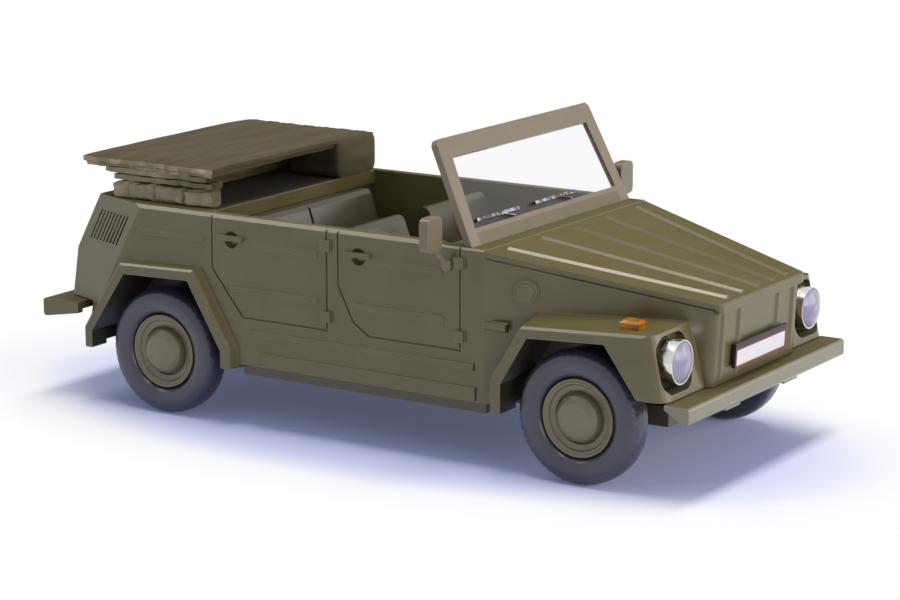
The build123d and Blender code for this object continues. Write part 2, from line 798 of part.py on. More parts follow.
# Windscreen frame, pane and wiper blades, built in the raked plane
frame_base_half = body_half - frame_inset
frame_top_half = frame_base_half - frame_taper
pane_base_half = frame_base_half - post_base
pane_top_half = frame_top_half - post_top
pane_low = bar_low
pane_high = frame_height - bar_top
corner_break = 0.25
frame_sink = 1.0
raked = Plane(
    (screen_x, 0, cowl_z),
    x_dir=(0, 1, 0),
    z_dir=(cos(radians(screen_rake)), 0, sin(radians(screen_rake))),
)


def raked_slab(points, low, high):
    face = make_face(Polyline(*points, close=True))
    return raked * extrude(Pos(0, 0, low) * face, high - low, dir=(0, 0, 1))


frame_side = [
    (frame_base_half, -frame_sink),
    (frame_base_half, 0),
    (frame_top_half, frame_height - corner_break),
    (frame_top_half - corner_break, frame_height),
]
frame_points = frame_side + [(-y, v) for y, v in reversed(frame_side)]
pane_side = [(pane_base_half, pane_low), (pane_top_half, pane_high)]
pane_points = pane_side + [(-y, v) for y, v in reversed(pane_side)]
frame = raked_slab(frame_points, -frame_thickness, 0) - raked_slab(pane_points, -far, far)
frame = frame - block((-far, far), (-far, far), (-far, cowl_z))
save(frame, "windscreen_frame")
pane_front = -(frame_thickness - pane_thickness) / 2
save(raked_slab(pane_points, pane_front - pane_thickness, pane_front), "windscreen_pane")

blade_length = 4.3
blade_height = 0.18
blade_lift = 0.3
blade_proud = 0.18
arm_half = 0.08
arm_run = 1.6
arm_lift = 0.05
wiper_inset = 0.35
wiper_pitch = 6.0
right_start = wiper_inset - pane_base_half
for name, start in (("wiper_right", right_start), ("wiper_left", right_start + wiper_pitch)):
    end = start + blade_length
    blade_v = (pane_low + blade_lift, pane_low + blade_lift + blade_height)
    blade = [(start, blade_v[0]), (end, blade_v[0]), (end, blade_v[1]), (start, blade_v[1])]
    joint_y = (start + end) / 2
    arm = [
        (joint_y + arm_run - arm_half, pane_low + arm_lift),
        (joint_y + arm_run + arm_half, pane_low + arm_lift),
        (joint_y + arm_half, blade_v[1]),
        (joint_y - arm_half, blade_v[1]),
    ]
    wiper_shape = raked_slab(blade, pane_front, pane_front + blade_proud)
    wiper_shape = wiper_shape + raked_slab(arm, pane_front, pane_front + blade_proud)
    save(wiper_shape, name)

# Mirrors on straight stems, each footed on its front door below the belt
mirror_width = 1.4
mirror_height = 1.9
mirror_thickness = 0.55
mirror_reach = 1.55
mirror_back = 1.45
mirror_rise = 0.75
stem_radius = 0.16
foot_length = 0.35
foot_back = 0.7
foot_drop = 1.15
foot_radius = 0.28
mirror_centre = Vector(screen_x - mirror_back, body_half + mirror_reach, belt_z + mirror_rise)
head = Pos(mirror_centre) * Box(mirror_thickness, mirror_width, mirror_height)
head = fillet(head.edges().filter_by(Axis.X), mirror_width / 4)
foot_point = Vector(door_front_x - foot_back, body_half + foot_length / 2, belt_z - foot_drop)
head_point = mirror_centre - Vector(0, mirror_width / 6, mirror_height * 0.4)
stem_way = head_point - foot_point
stem_plane = Plane(foot_point + stem_way * 0.5, z_dir=stem_way)
stem = stem_plane * extrude(RegularPolygon(stem_radius, 6), stem_way.length / 2, both=True)
foot = Rot(90, 0, 0) * extrude(RegularPolygon(foot_radius, 8), foot_length / 2, both=True)
foot = Pos(foot_point) * foot
save_pair(head + stem + foot, "mirror")

# Bumpers: channels with closed ends and two brackets to the chassis plate
bracket_half = 0.8
bracket_inset = 1.8
bumper_edge = 0.2
bracket_lap = 1.2
front_tail = 0.25
rear_wedge = 0.45
front_bumper_x = (bumper_front_x - front_bumper_depth, bumper_front_x)
bumper_y = (-bumper_half, bumper_half)
channel_y = (-bumper_half + bumper_skin, bumper_half - bumper_skin)
bracket_y = chassis_half - bracket_inset
bracket_span = (bracket_y - bracket_half, bracket_y + bracket_half)
front_profile = [
    (front_bumper_x[0], front_bumper_z[1] - front_tail),
    (front_bumper_x[1], front_bumper_z[0]),
    (front_bumper_x[1], front_bumper_z[1]),
    (front_bumper_x[0], front_bumper_z[1]),
]
front_bumper = prism_y(front_profile, *bumper_y)
front_bumper = fillet(front_bumper.edges().filter_by(Axis.Y).sort_by(Axis.X)[-2:], bumper_edge)
front_channel_x = (front_bumper_x[0] - 1, front_bumper_x[1] - bumper_skin)
front_bumper = front_bumper - block(front_channel_x, channel_y, (-far, front_bumper_z[1] - bumper_skin))
front_bracket_x = (chassis_x[1] - bracket_lap, front_bumper_x[1] - bumper_skin)
front_bracket = block(front_bracket_x, bracket_span, (chassis_high_z, front_bumper_z[1] - bumper_edge))
save(front_bumper + both_sides(front_bracket), "front_bumper")

rear_bumper_x = (bumper_rear_x, bumper_rear_x + rear_bumper_depth)
rear_profile = [
    (rear_bumper_x[0], rear_bumper_z[0]),
    (rear_bumper_x[1], rear_bumper_z[0] + rear_wedge),
    (rear_bumper_x[1], rear_bumper_z[1]),
    (rear_bumper_x[0], rear_bumper_z[1]),
]
rear_bumper = prism_y(rear_profile, *bumper_y)
rear_bumper = fillet(rear_bumper.edges().filter_by(Axis.Y).sort_by(Axis.X)[:2], bumper_edge)
rear_channel_x = (rear_bumper_x[0] + bumper_skin, rear_bumper_x[1] + 1)
rear_bumper = rear_bumper - block(rear_channel_x, channel_y, (-far, rear_bumper_z[1] - bumper_skin))
rear_bracket_x = (rear_bumper_x[0] + bumper_skin, chassis_x[0] + bracket_lap)
rear_bracket = block(rear_bracket_x, bracket_span, (chassis_high_z, rear_bumper_z[1] - bumper_edge))
save(rear_bumper + both_sides(rear_bracket), "rear_bumper")

# Head lamps: silvered barrel with a bezel, and a domed lens
bezel_proud = 0.02
bezel_wall = 0.12
lens_dome = 0.35
lens_x = wing_front_x + bezel_proud
lens_back_x = pocket_x + root
lens_seat = lamp_radius - bezel_wall
lens_radius = lens_seat - fit_clearance
dome_radius = (lens_radius ** 2 + lens_dome ** 2) / (2 * lens_dome)
half_way = lens_radius / 2
half_rise = (dome_radius ** 2 - half_way ** 2) ** 0.5 - dome_radius + lens_dome
reflector = lamp_disc(lamp_radius - fit_clearance, barrel_x, lens_x)
reflector = reflector - lamp_disc(lens_seat, lens_back_x, lens_x + 1)
lens_top = (0, lens_x + lens_dome)
lens_edge = (lens_radius, lens_x)
lens_profile = Polyline(lens_top, (0, lens_back_x), (lens_radius, lens_back_x), lens_edge)
lens_profile = lens_profile + ThreePointArc(lens_edge, (half_way, lens_x + half_rise), lens_top)
lens = Pos(0, lamp_y, lamp_z) * Rot(0, 0, -90) * revolve(make_face(lens_profile), Axis.Y)
save_pair(reflector, "headlamp_reflector")
save_pair(lens, "headlamp_lens")

# Turn lamps on the wings, tail lamps on the tail
turn_length = 1.15
turn_width = 0.9
turn_height = 0.69
turn_back = 2.1
turn_inset = 0.95
lamp_break = 0.15
turn_x = (wing_front_x - turn_back - turn_length, wing_front_x - turn_back)
turn_y = (flare_half - turn_inset - turn_width, flare_half - turn_inset)
turn_lamp = block(turn_x, turn_y, (wing_crest_z - 0.1, wing_crest_z + turn_height))
turn_lamp = chamfer(turn_lamp.faces().sort_by(Axis.Z)[-1].edges(), lamp_break)
save_pair(turn_lamp - wing, "turn_lamp")

tail_lamp_width = 1.6
tail_lamp_height = 1.7
tail_lamp_depth = 0.4
tail_lamp_out = body_half - 1.95
tail_lamp_low = tail_low_z + 0.55
tail_lamp_y = (tail_lamp_out - tail_lamp_width, tail_lamp_out)
tail_lamp_z = (tail_lamp_low, tail_lamp_low + tail_lamp_height)
tail_lamp = block((tail_x - tail_lamp_depth, tail_x), tail_lamp_y, tail_lamp_z)
tail_lamp = chamfer(tail_lamp.faces().sort_by(Axis.X)[0].edges(), lamp_break)
save_pair(tail_lamp, "tail_lamp")

# Number plate, blank, seated on the ribs of the nose
plate_half = 3.0
plate_height = 1.3
plate_thickness = 0.2
plate_lift = 0.7
plate_z = (nose_low_z + plate_lift, nose_low_z + plate_lift + plate_height)
plate_side = [
    (nose_line(plate_z[0]) + relief, plate_z[0]),
    (nose_line(plate_z[0]) + relief + plate_thickness, plate_z[0]),
    (nose_line(plate_z[1]) + relief + plate_thickness, plate_z[1]),
    (nose_line(plate_z[1]) + relief, plate_z[1]),
]
save(prism_y(plate_side, -plate_half, plate_half), "number_plate")

# Folded top: pleated bow pack on the rear deck, and the canvas folded in layers over it
pack_inset = 0.95
pack_height = 1.05
pack_mouth = 4.5
right_roll = 1.1
left_roll = 3.6
pleat_count = 3
pleat_first = 0.95
pleat_pitch = 2.1
pleat_width = 0.25
pack_lift = 0.15
pack_half = body_half - pack_inset
pack_behind = 4.0
pack_ahead = 0.3
right_back = 0.75
pack_x = (rear_axle_x - pack_behind, cabin_rear_x + pack_ahead)
pack_z = (belt_z, belt_z + pack_height)
pack = block(pack_x, (-pack_half, pack_half), pack_z)
mouth_y = (right_roll - pack_half, pack_half - left_roll)
pack = pack - block((pack_x[1] - pack_mouth, far), mouth_y, (belt_z, far))
for number in range(pleat_count):
    pleat_x = pack_x[0] + pleat_first + pleat_pitch * number
    groove_x = (pleat_x, pleat_x + pleat_width)
    pack = pack - both_sides(block(groove_x, (pack_half - pleat_width, far), (belt_z, far)))
pack = pack - block((pack_x[1] - right_back, far), (-far, mouth_y[0]), (-far, far))
lift_x = (pack_x[0] + pleat_first, far)
pack = pack - both_sides(block(lift_x, (pack_half - pleat_width, far), (belt_z, belt_z + pack_lift)))
save(pack, "folded_top_bows")

canvas_inset = 0.6
layer_height = 0.42
lid_height = 0.55
layer_gap = 0.08
canvas_half = body_half - canvas_inset
canvas_behind = 6.1
canvas_ahead = 0.05
canvas_x = (rear_axle_x - canvas_behind, cabin_rear_x + canvas_ahead)
layer_columns = ("rear_in", "front_out", "side_in", "low", "high")
canvas_low = pack_z[1]
layer_2 = canvas_low + layer_height
layer_3 = layer_2 + layer_height
layers = [
    (2.0, 0.45, 0.4, canvas_low, layer_2 - layer_gap),
    (1.5, 0.1, 0.15, layer_2, layer_3 - layer_gap),
    (0.0, 0.0, 0.0, layer_3, layer_3 + lid_height),
]
core_inset = 2.0
core_half = pack_half - canvas_inset / 2
canvas = block(
    (canvas_x[0] + core_inset, canvas_x[1] - pack_mouth),
    (-core_half, core_half),
    (canvas_low, layer_3),
)
for values in layers:
    layer = dict(zip(layer_columns, values))
    half = canvas_half - layer["side_in"]
    span_x = (canvas_x[0] + layer["rear_in"], canvas_x[1] + layer["front_out"])
    sheet = block(span_x, (-half, half), (layer["low"], layer["high"]))
    if layer["side_in"]:
        sheet = sheet - block((canvas_x[1] - pack_mouth, far), mouth_y, (-far, far))
        sheet = sheet - block((span_x[1] - right_back, far), (-far, mouth_y[0]), (-far, far))
    sheet = chamfer(sheet.faces().sort_by(Axis.Z)[-1].edges(), lamp_break)
    canvas = canvas + sheet
save(canvas, "folded_top_canvas")

# Axles, rims and tyres
shoulder = 0.45
crown_share = 0.6
seat_share = 0.72
tyre_half = tyre_width / 2
seat_half = tyre_half * seat_share
tyre_section_half = [
    (rim_radius, tyre_half),
    (tyre_radius - shoulder, tyre_half),
    (tyre_radius, tyre_half * crown_share),
]
tyre_section = tyre_section_half + [(r, -y) for r, y in reversed(tyre_section_half)]
tyre = revolve(make_face(Polyline(*tyre_section, close=True)), Axis.Y)
seat_radius = rim_radius - fit_clearance / 2
hub_bore = axle_radius + fit_clearance / 4
dish_ring = 0.42
cap_ring = 0.8
cap_height = 1.02
cap_share = 0.72
dish_floor = 0.42
web_back = 0.1
dish_radius = rim_radius - dish_ring
cap_edge = rim_radius - cap_ring
rim_section = [
    (0, cap_height),
    (cap_edge * cap_share, cap_height),
    (cap_edge, dish_floor),
    (dish_radius, dish_floor),
    (seat_radius, seat_half),
    (seat_radius, -seat_half),
    (hub_bore, -seat_half),
    (hub_bore, web_back),
    (0, web_back),
]
rim = revolve(make_face(Polyline(*rim_section, close=True)), Axis.Y)
axle_half = wheel_y + web_back - fit_clearance
for end, axle_x in (("front", front_axle_x), ("rear", rear_axle_x)):
    save(Pos(axle_x, 0, axle_z) * Rot(90, 0, 0) * Cylinder(axle_radius, 2 * axle_half), end + "_axle")
    for shape, name in ((tyre, "tyre_"), (rim, "rim_")):
        save_pair(Pos(axle_x, wheel_y, axle_z) * shape, name + end)
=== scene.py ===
import math
import bmesh
import bpy
import numpy as np
from mathutils import Matrix, Vector


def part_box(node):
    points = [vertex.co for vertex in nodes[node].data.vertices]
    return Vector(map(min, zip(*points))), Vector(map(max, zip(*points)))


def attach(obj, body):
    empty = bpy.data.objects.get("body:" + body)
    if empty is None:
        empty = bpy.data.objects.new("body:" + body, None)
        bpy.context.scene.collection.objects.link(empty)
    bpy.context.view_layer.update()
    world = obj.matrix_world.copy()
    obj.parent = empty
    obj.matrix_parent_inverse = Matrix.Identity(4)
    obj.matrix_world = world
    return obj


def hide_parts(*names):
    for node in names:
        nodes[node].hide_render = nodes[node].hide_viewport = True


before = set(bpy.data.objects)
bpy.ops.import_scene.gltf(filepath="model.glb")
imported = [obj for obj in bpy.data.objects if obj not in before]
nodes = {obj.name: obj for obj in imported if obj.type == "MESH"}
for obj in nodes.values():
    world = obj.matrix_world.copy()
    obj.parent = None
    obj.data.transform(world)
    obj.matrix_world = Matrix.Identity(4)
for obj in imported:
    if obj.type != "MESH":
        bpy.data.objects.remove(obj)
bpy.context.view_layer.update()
MM = 0.001

# Body shell: the car's tub of doors, wings, bonnet and tail in one piece of olive polystyrene.
# It is injection moulded in a steel tool, with edges that are a little round and carry a painted
# highlight, glossy on its sides and dusty on top. The rear deck and the wheel arches carry painted
# shade: a dark tone like the interior's stands in for the shadow that falls there.
OLIVE = (0.094, 0.076, 0.021)
OLIVE_PALE = (0.260, 0.228, 0.145)
# Painted shade: a dark tone and its pale that stand in for the shadow on the deck and in the arches.
PAINTED_SHADE = (0.034, 0.029, 0.020)
PAINTED_SHADE_PALE = (0.055, 0.048, 0.034)
DECK_RIM = 0.16 * MM
DECK_FLAT = 0.02 * MM
ARCH_REACH = 7.5 * MM
ARCH_TURN = (-2.4 * MM, -3.0 * MM)
WELL_REACH = 5.2 * MM
WELL_HALF = 8.45 * MM
WELL_TOP = 7.4 * MM
SHADE_FADE = 0.2 * MM
WELL_FADE = 0.05 * MM
PAINT_LINE = 0.04 * MM
UPWARD_TILT = (0.8, 0.9)
EDGE_ROUND = 0.10 * MM
EDGE_TURN = (0.99, 0.75)
EDGE_HIGHLIGHT = 0.7
GRAIN_DEPTH = 0.02 * MM
GRAIN_SCALE = 5200
FLOW_SCALE = 330
FLOW_HAZE = 0.1
DUST_TILT = (0.86, 0.97)
DUST_MATT = 0.6
PLASTIC_SPECULAR = 0.3
COAT_ROUGH = 0.22


def link_chain(tree, *pairs):
    """Joins each (output, input) pair of sockets in a node tree."""
    for start, end in pairs:
        tree.links.new(start, end)


def math_node(tree, operation, first, second):
    """A Math node on two values or sockets, given back by its output."""
    node = tree.nodes.new("ShaderNodeMath")
    node.operation = operation
    for socket, value in zip(node.inputs, (first, second)):
        if isinstance(value, (int, float)):
            socket.default_value = value
        else:
            tree.links.new(value, socket)
    return node.outputs[0]


def blend_colour(tree, mask, first, second):
    """A Mix node that goes from the first colour to the second where the mask rises."""
    node = tree.nodes.new("ShaderNodeMix")
    node.data_type = "RGBA"
    for socket, value in ((node.inputs[0], mask), (node.inputs[6], first), (node.inputs[7], second)):
        if isinstance(value, tuple):
            socket.default_value = (*value, 1)
        else:
            tree.links.new(value, socket)
    return node.outputs[2]


def map_range(tree, value, low, high, to_low, to_high):
    """A Map Range node that carries low..high to to_low..to_high and stops at both ends."""
    node = tree.nodes.new("ShaderNodeMapRange")
    tree.links.new(value, node.inputs[0])
    for socket, number in zip(node.inputs[1:5], (low, high, to_low, to_high)):
        socket.default_value = number
    return node.outputs[0]


def noise(tree, scale, detail, stretch=(1, 1, 1)):
    """Noise over Object coordinates, drawn out along an axis whose stretch is under one."""
    place = tree.nodes.new("ShaderNodeTexCoord")
    drawn = tree.nodes.new("ShaderNodeMapping")
    drawn.inputs["Scale"].default_value = stretch
    cloud = tree.nodes.new("ShaderNodeTexNoise")
    cloud.inputs["Scale"].default_value = scale
    cloud.inputs["Detail"].default_value = detail
    tree.links.new(place.outputs["Object"], drawn.inputs["Vector"])
    tree.links.new(drawn.outputs[0], cloud.inputs["Vector"])
    return cloud.outputs["Fac"]


def place_axes(tree):
    """The X, Y and Z of a point in Object coordinates, as the outputs of one node."""
    place = tree.nodes.new("ShaderNodeTexCoord")
    axes = tree.nodes.new("ShaderNodeSeparateXYZ")
    tree.links.new(place.outputs["Object"], axes.inputs[0])
    return axes.outputs


def facing_axes(tree):
    """The X, Y and Z of a face's normal, as the outputs of one node."""
    surface = tree.nodes.new("ShaderNodeNewGeometry")
    facing = tree.nodes.new("ShaderNodeSeparateXYZ")
    tree.links.new(surface.outputs["Normal"], facing.inputs[0])
    return facing.outputs


def moulded_skin_group():
    """Skin of a moulded plastic part: cloudy flow marks in the colour and the gloss, a fine tool
    grain in the height, a rounded edge that catches the light and carries a painted highlight that
    pales its colour, and a film of dust that leaves the faces that look up quite matt and takes
    their clear gloss away."""
    group = bpy.data.node_groups.new("moulded_skin", "ShaderNodeTree")
    sockets = (
        ("Colour", "INPUT", "NodeSocketColor"),
        ("Edge Colour", "INPUT", "NodeSocketColor"),
        ("Flow", "INPUT", "NodeSocketFloat"),
        ("Gloss", "INPUT", "NodeSocketFloat"),
        ("Grain", "INPUT", "NodeSocketFloat"),
        ("Shine", "INPUT", "NodeSocketFloat"),
        ("Colour", "OUTPUT", "NodeSocketColor"),
        ("Roughness", "OUTPUT", "NodeSocketFloat"),
        ("Normal", "OUTPUT", "NodeSocketVector"),
        ("Clear Gloss", "OUTPUT", "NodeSocketFloat"),
    )
    for name, way, kind in sockets:
        group.interface.new_socket(name=name, in_out=way, socket_type=kind)
    given = group.nodes.new("NodeGroupInput")
    made = group.nodes.new("NodeGroupOutput")
    rounded = group.nodes.new("ShaderNodeBevel")
    rounded.samples = 6
    rounded.inputs["Radius"].default_value = EDGE_ROUND
    surface = group.nodes.new("ShaderNodeNewGeometry")
    turn = group.nodes.new("ShaderNodeVectorMath")
    turn.operation = "DOT_PRODUCT"
    bump = group.nodes.new("ShaderNodeBump")
    bump.inputs["Distance"].default_value = GRAIN_DEPTH
    flow = noise(group, FLOW_SCALE, detail=4)
    grain = noise(group, GRAIN_SCALE, detail=3)
    link_chain(
        group,
        (rounded.outputs[0], turn.inputs[0]),
        (surface.outputs["Normal"], turn.inputs[1]),
        (rounded.outputs[0], bump.inputs["Normal"]),
        (grain, bump.inputs["Height"]),
        (given.outputs["Grain"], bump.inputs["Strength"]),
        (bump.outputs[0], made.inputs["Normal"]),
    )
    # Painted highlight: the colour pales towards the pale tone on every rounded edge.
    edge = map_range(group, turn.outputs["Value"], *EDGE_TURN, 0, EDGE_HIGHLIGHT)
    clouds = map_range(group, flow, 0.3, 0.7, 0, 1)
    cloudy = math_node(group, "MULTIPLY", clouds, given.outputs["Flow"])
    tinted = blend_colour(group, cloudy, given.outputs[0], given.outputs[1])
    group.links.new(blend_colour(group, edge, tinted, given.outputs[1]), made.inputs[0])
    haze = math_node(group, "MULTIPLY", math_node(group, "SUBTRACT", clouds, 0.5), FLOW_HAZE)
    dust = map_range(group, facing_axes(group)["Z"], *DUST_TILT, 0, 1)
    gloss = math_node(group, "ADD", haze, given.outputs["Gloss"])
    matt = math_node(group, "MULTIPLY", dust, DUST_MATT)
    group.links.new(math_node(group, "ADD", gloss, matt), made.inputs[1])
    clean = math_node(group, "SUBTRACT", 1, dust)
    group.links.new(math_node(group, "MULTIPLY", clean, given.outputs["Shine"]), made.inputs[3])
    return group


moulded_skin = moulded_skin_group()


def new_material(name):
    """A material with its node tree and its own Principled BSDF, which are given back with it."""
    material = bpy.data.materials.new(name)
    material.use_nodes = True
    return material, material.node_tree, material.node_tree.nodes["Principled BSDF"]


def moulded_plastic(name, colour, pale, flow=0.12, gloss=0.36, grain=0.25, shine=0.5, lustre=1.6):
    """A plastic whose skin comes from the moulded_skin group; its pale tone goes into the flow marks
    and the painted edge highlight.
    """
    material, tree, shader = new_material(name)
    skin = tree.nodes.new("ShaderNodeGroup")
    skin.name = "skin"
    skin.node_tree = moulded_skin
    skin.inputs[0].default_value = (*colour, 1)
    skin.inputs[1].default_value = (*pale, 1)
    skin.inputs["Flow"].default_value = flow
    skin.inputs["Gloss"].default_value = gloss
    skin.inputs["Grain"].default_value = grain
    skin.inputs["Shine"].default_value = shine
    shader.inputs["Specular IOR Level"].default_value = PLASTIC_SPECULAR
    shader.inputs["Coat Roughness"].default_value = COAT_ROUGH
    shader.inputs["Coat IOR"].default_value = lustre
    link_chain(
        tree,
        (skin.outputs["Colour"], shader.inputs["Base Color"]),
        (skin.outputs["Roughness"], shader.inputs["Roughness"]),
        (skin.outputs["Normal"], shader.inputs["Normal"]),
        (skin.outputs["Clear Gloss"], shader.inputs["Coat Weight"]),
    )
    return material


def dress(material, *names):
    """Puts a material on CAD nodes."""
    for name in names:
        nodes[name].data.materials.clear()
        nodes[name].data.materials.append(material)


olive_plastic = moulded_plastic("olive_plastic", OLIVE, OLIVE_PALE)
bows_low, bows_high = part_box("folded_top_bows")


def arch_shade_mask(tree, axes, normal, wheel):
    """One in a wheel's arch, where the painted shade goes: on faces near the wheel that look towards
    its axle, and on the wall of the well behind it."""
    low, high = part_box(wheel)
    centre = (low + high) / 2
    from_axle = tree.nodes.new("ShaderNodeCombineXYZ")
    tree.links.new(math_node(tree, "SUBTRACT", axes["X"], centre.x), from_axle.inputs["X"])
    tree.links.new(math_node(tree, "SUBTRACT", axes["Z"], centre.z), from_axle.inputs["Z"])
    reach = tree.nodes.new("ShaderNodeVectorMath")
    reach.operation = "LENGTH"
    tree.links.new(from_axle.outputs[0], reach.inputs[0])
    turned = tree.nodes.new("ShaderNodeVectorMath")
    turned.operation = "DOT_PRODUCT"
    tree.links.new(from_axle.outputs[0], turned.inputs[0])
    tree.links.new(normal, turned.inputs[1])
    near = map_range(tree, reach.outputs["Value"], ARCH_REACH, ARCH_REACH + SHADE_FADE, 1, 0)
    inward = map_range(tree, turned.outputs["Value"], *ARCH_TURN, 0, 1)
    lip = math_node(tree, "MULTIPLY", near, inward)
    behind = map_range(tree, reach.outputs["Value"], WELL_REACH, WELL_REACH + SHADE_FADE, 1, 0)
    across = math_node(tree, "ABSOLUTE", axes["Y"], 0)
    deep = map_range(tree, across, WELL_HALF, WELL_HALF + WELL_FADE, 1, 0)
    under = map_range(tree, axes["Z"], WELL_TOP, WELL_TOP + WELL_FADE, 1, 0)
    well = math_node(tree, "MULTIPLY", behind, math_node(tree, "MULTIPLY", deep, under))
    return math_node(tree, "MAXIMUM", lip, well)


def shell_with_painted_shade():
    """The body's olive, with painted shade: a dark tone on the flat of the rear deck between its rails
    and in the wheel arches, where shadow falls."""
    material = olive_plastic.copy()
    material.name = "olive_plastic_shell"
    tree = material.node_tree
    axes = place_axes(tree)
    surface = tree.nodes.new("ShaderNodeNewGeometry")
    level = math_node(tree, "SUBTRACT", axes["Z"], bows_low.z)
    flat = map_range(tree, math_node(tree, "ABSOLUTE", level, 0), DECK_FLAT, 2 * DECK_FLAT, 1, 0)
    upward = map_range(tree, facing_axes(tree)["Z"], *UPWARD_TILT, 0, 1)
    flat = math_node(tree, "MULTIPLY", flat, upward)
    across = math_node(tree, "ABSOLUTE", axes["Y"], 0)
    side = bows_high.y - DECK_RIM
    inside = map_range(tree, across, side, side + PAINT_LINE, 1, 0)
    front = bows_high.x - DECK_RIM
    behind = map_range(tree, axes["X"], front, front + PAINT_LINE, 1, 0)
    ahead = map_range(tree, axes["X"], bows_low.x - PAINT_LINE, bows_low.x, 0, 1)
    within = math_node(tree, "MULTIPLY", inside, math_node(tree, "MULTIPLY", behind, ahead))
    # Painted shade: the deck's flat and the wheel arches are darkened where shadow falls.
    painted_shade_mask = math_node(tree, "MULTIPLY", flat, within)
    for wheel in ("tyre_front_right", "tyre_rear_right"):
        arch = arch_shade_mask(tree, axes, surface.outputs["Normal"], wheel)
        painted_shade_mask = math_node(tree, "MAXIMUM", painted_shade_mask, arch)
    skin = tree.nodes["skin"]
    tree.links.new(blend_colour(tree, painted_shade_mask, OLIVE, PAINTED_SHADE), skin.inputs[0])
    tree.links.new(blend_colour(tree, painted_shade_mask, OLIVE_PALE, PAINTED_SHADE_PALE), skin.inputs[1])
    return material


dress(shell_with_painted_shade(), "body_shell")

# Bumpers: two straight channels of the same olive plastic, each moulded with two brackets that lie
# on the chassis plate and are glued there. The front one is polished by handling.
bumper_plastic = moulded_plastic("olive_plastic_bumper", OLIVE, OLIVE_PALE, shine=1, lustre=1.95)
dress(bumper_plastic, "front_bumper")
dress(olive_plastic, "rear_bumper")

# Chassis plate: a flat tray of browner plastic that closes the shell from below. Both axles run in
# bores in its four lugs.
CHASSIS_BROWN = (0.090, 0.076, 0.046)
CHASSIS_PALE = (0.130, 0.114, 0.075)
chassis_plastic = moulded_plastic(
    "chassis_plastic", CHASSIS_BROWN, CHASSIS_PALE, gloss=0.5, shine=0.3
)
dress(chassis_plastic, "chassis_plate")

# Interior: floor tub, bench, two seats and dashboard, moulded in an olive that is a shade darker
# than the shell, on top of the chassis plate. The steering wheel is black and sits on its column.
INTERIOR = (0.040, 0.034, 0.016)
INTERIOR_PALE = (0.064, 0.056, 0.030)
interior_plastic = moulded_plastic("interior_plastic", INTERIOR, INTERIOR_PALE, gloss=0.46, shine=0.5)
dress(
    interior_plastic,
    "cabin_tub",
    "rear_bench",
    "front_seat_left",
    "front_seat_right",
    "dashboard",
)
BLACK = (0.010, 0.010, 0.012)
BLACK_PALE = (0.035, 0.035, 0.042)
black_plastic = moulded_plastic("black_plastic", BLACK, BLACK_PALE, gloss=0.35)
dress(black_plastic, "steering_wheel")

# Windscreen: a browner frame that stands on the cowl, its foot painted in the body's olive, with a
# clear polystyrene pane in its opening and two wipers printed silver over black. The mirrors are
# moulded in the frame's plastic and footed on the front doors.
FRAME_BROWN = (0.165, 0.126, 0.078)
FRAME_PALE = (0.31, 0.25, 0.18)
FOOT_EDGE = 0.12 * MM
RAKE = math.radians(25.5)
PANE_TINT = (0.965, 0.965, 0.985)
PANE_INDEX = 1.35
WIPER_SILVER = (0.48, 0.48, 0.56)
WIPER_FACING = (0.8, 0.95)
INK_WEAR = (0.42, 0.56)
METAL_DEPTH = 0.015 * MM
METAL_BREAK = 0.15
frame_plastic = moulded_plastic("frame_plastic", FRAME_BROWN, FRAME_PALE, gloss=0.34, shine=0.4)
dress(frame_plastic, "mirror_left", "mirror_right")
pane_low, pane_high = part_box("windscreen_pane")


def painted_foot():
    """The frame's plastic, in the body's olive below the pane and between the posts."""
    material = frame_plastic.copy()
    material.name = "frame_plastic_foot"
    tree = material.node_tree
    axes = place_axes(tree)
    brim = pane_low.z - FOOT_EDGE
    under = map_range(tree, axes["Z"], brim, brim + PAINT_LINE, 1, 0)
    across = math_node(tree, "ABSOLUTE", axes["Y"], 0)
    between = map_range(tree, across, pane_high.y, pane_high.y + PAINT_LINE, 1, 0)
    foot = math_node(tree, "MULTIPLY", under, between)
    skin = tree.nodes["skin"]
    tree.links.new(blend_colour(tree, foot, FRAME_BROWN, OLIVE), skin.inputs[0])
    tree.links.new(blend_colour(tree, foot, FRAME_PALE, OLIVE_PALE), skin.inputs[1])
    return material


dress(painted_foot(), "windscreen_frame")


def clear_plastic(name, tint, index, passing):
    """A see-through plastic that lets lamp light through as well, so that it throws no dark shadow."""
    material, tree, shader = new_material(name)
    shader.inputs["Base Color"].default_value = (*tint, 1)
    shader.inputs["Transmission Weight"].default_value = passing
    shader.inputs["IOR"].default_value = index
    path = tree.nodes.new("ShaderNodeLightPath")
    open_air = tree.nodes.new("ShaderNodeBsdfTransparent")
    either = tree.nodes.new("ShaderNodeMixShader")
    link_chain(
        tree,
        (path.outputs["Is Shadow Ray"], either.inputs[0]),
        (shader.outputs[0], either.inputs[1]),
        (open_air.outputs[0], either.inputs[2]),
        (either.outputs[0], tree.nodes["Material Output"].inputs["Surface"]),
    )
    return material, tree, shader


def smeared(tree, shader, low, high, scale):
    """Handling marks: soft noise carries the roughness of a clear part from low to high."""
    marks = noise(tree, scale, detail=2)
    tree.links.new(map_range(tree, marks, 0.35, 0.7, low, high), shader.inputs["Roughness"])


clear_pane, pane_tree, pane_shader = clear_plastic("clear_pane", PANE_TINT, PANE_INDEX, passing=1)
smeared(pane_tree, pane_shader, low=0.0, high=0.05, scale=400)
dress(clear_pane, "windscreen_pane")


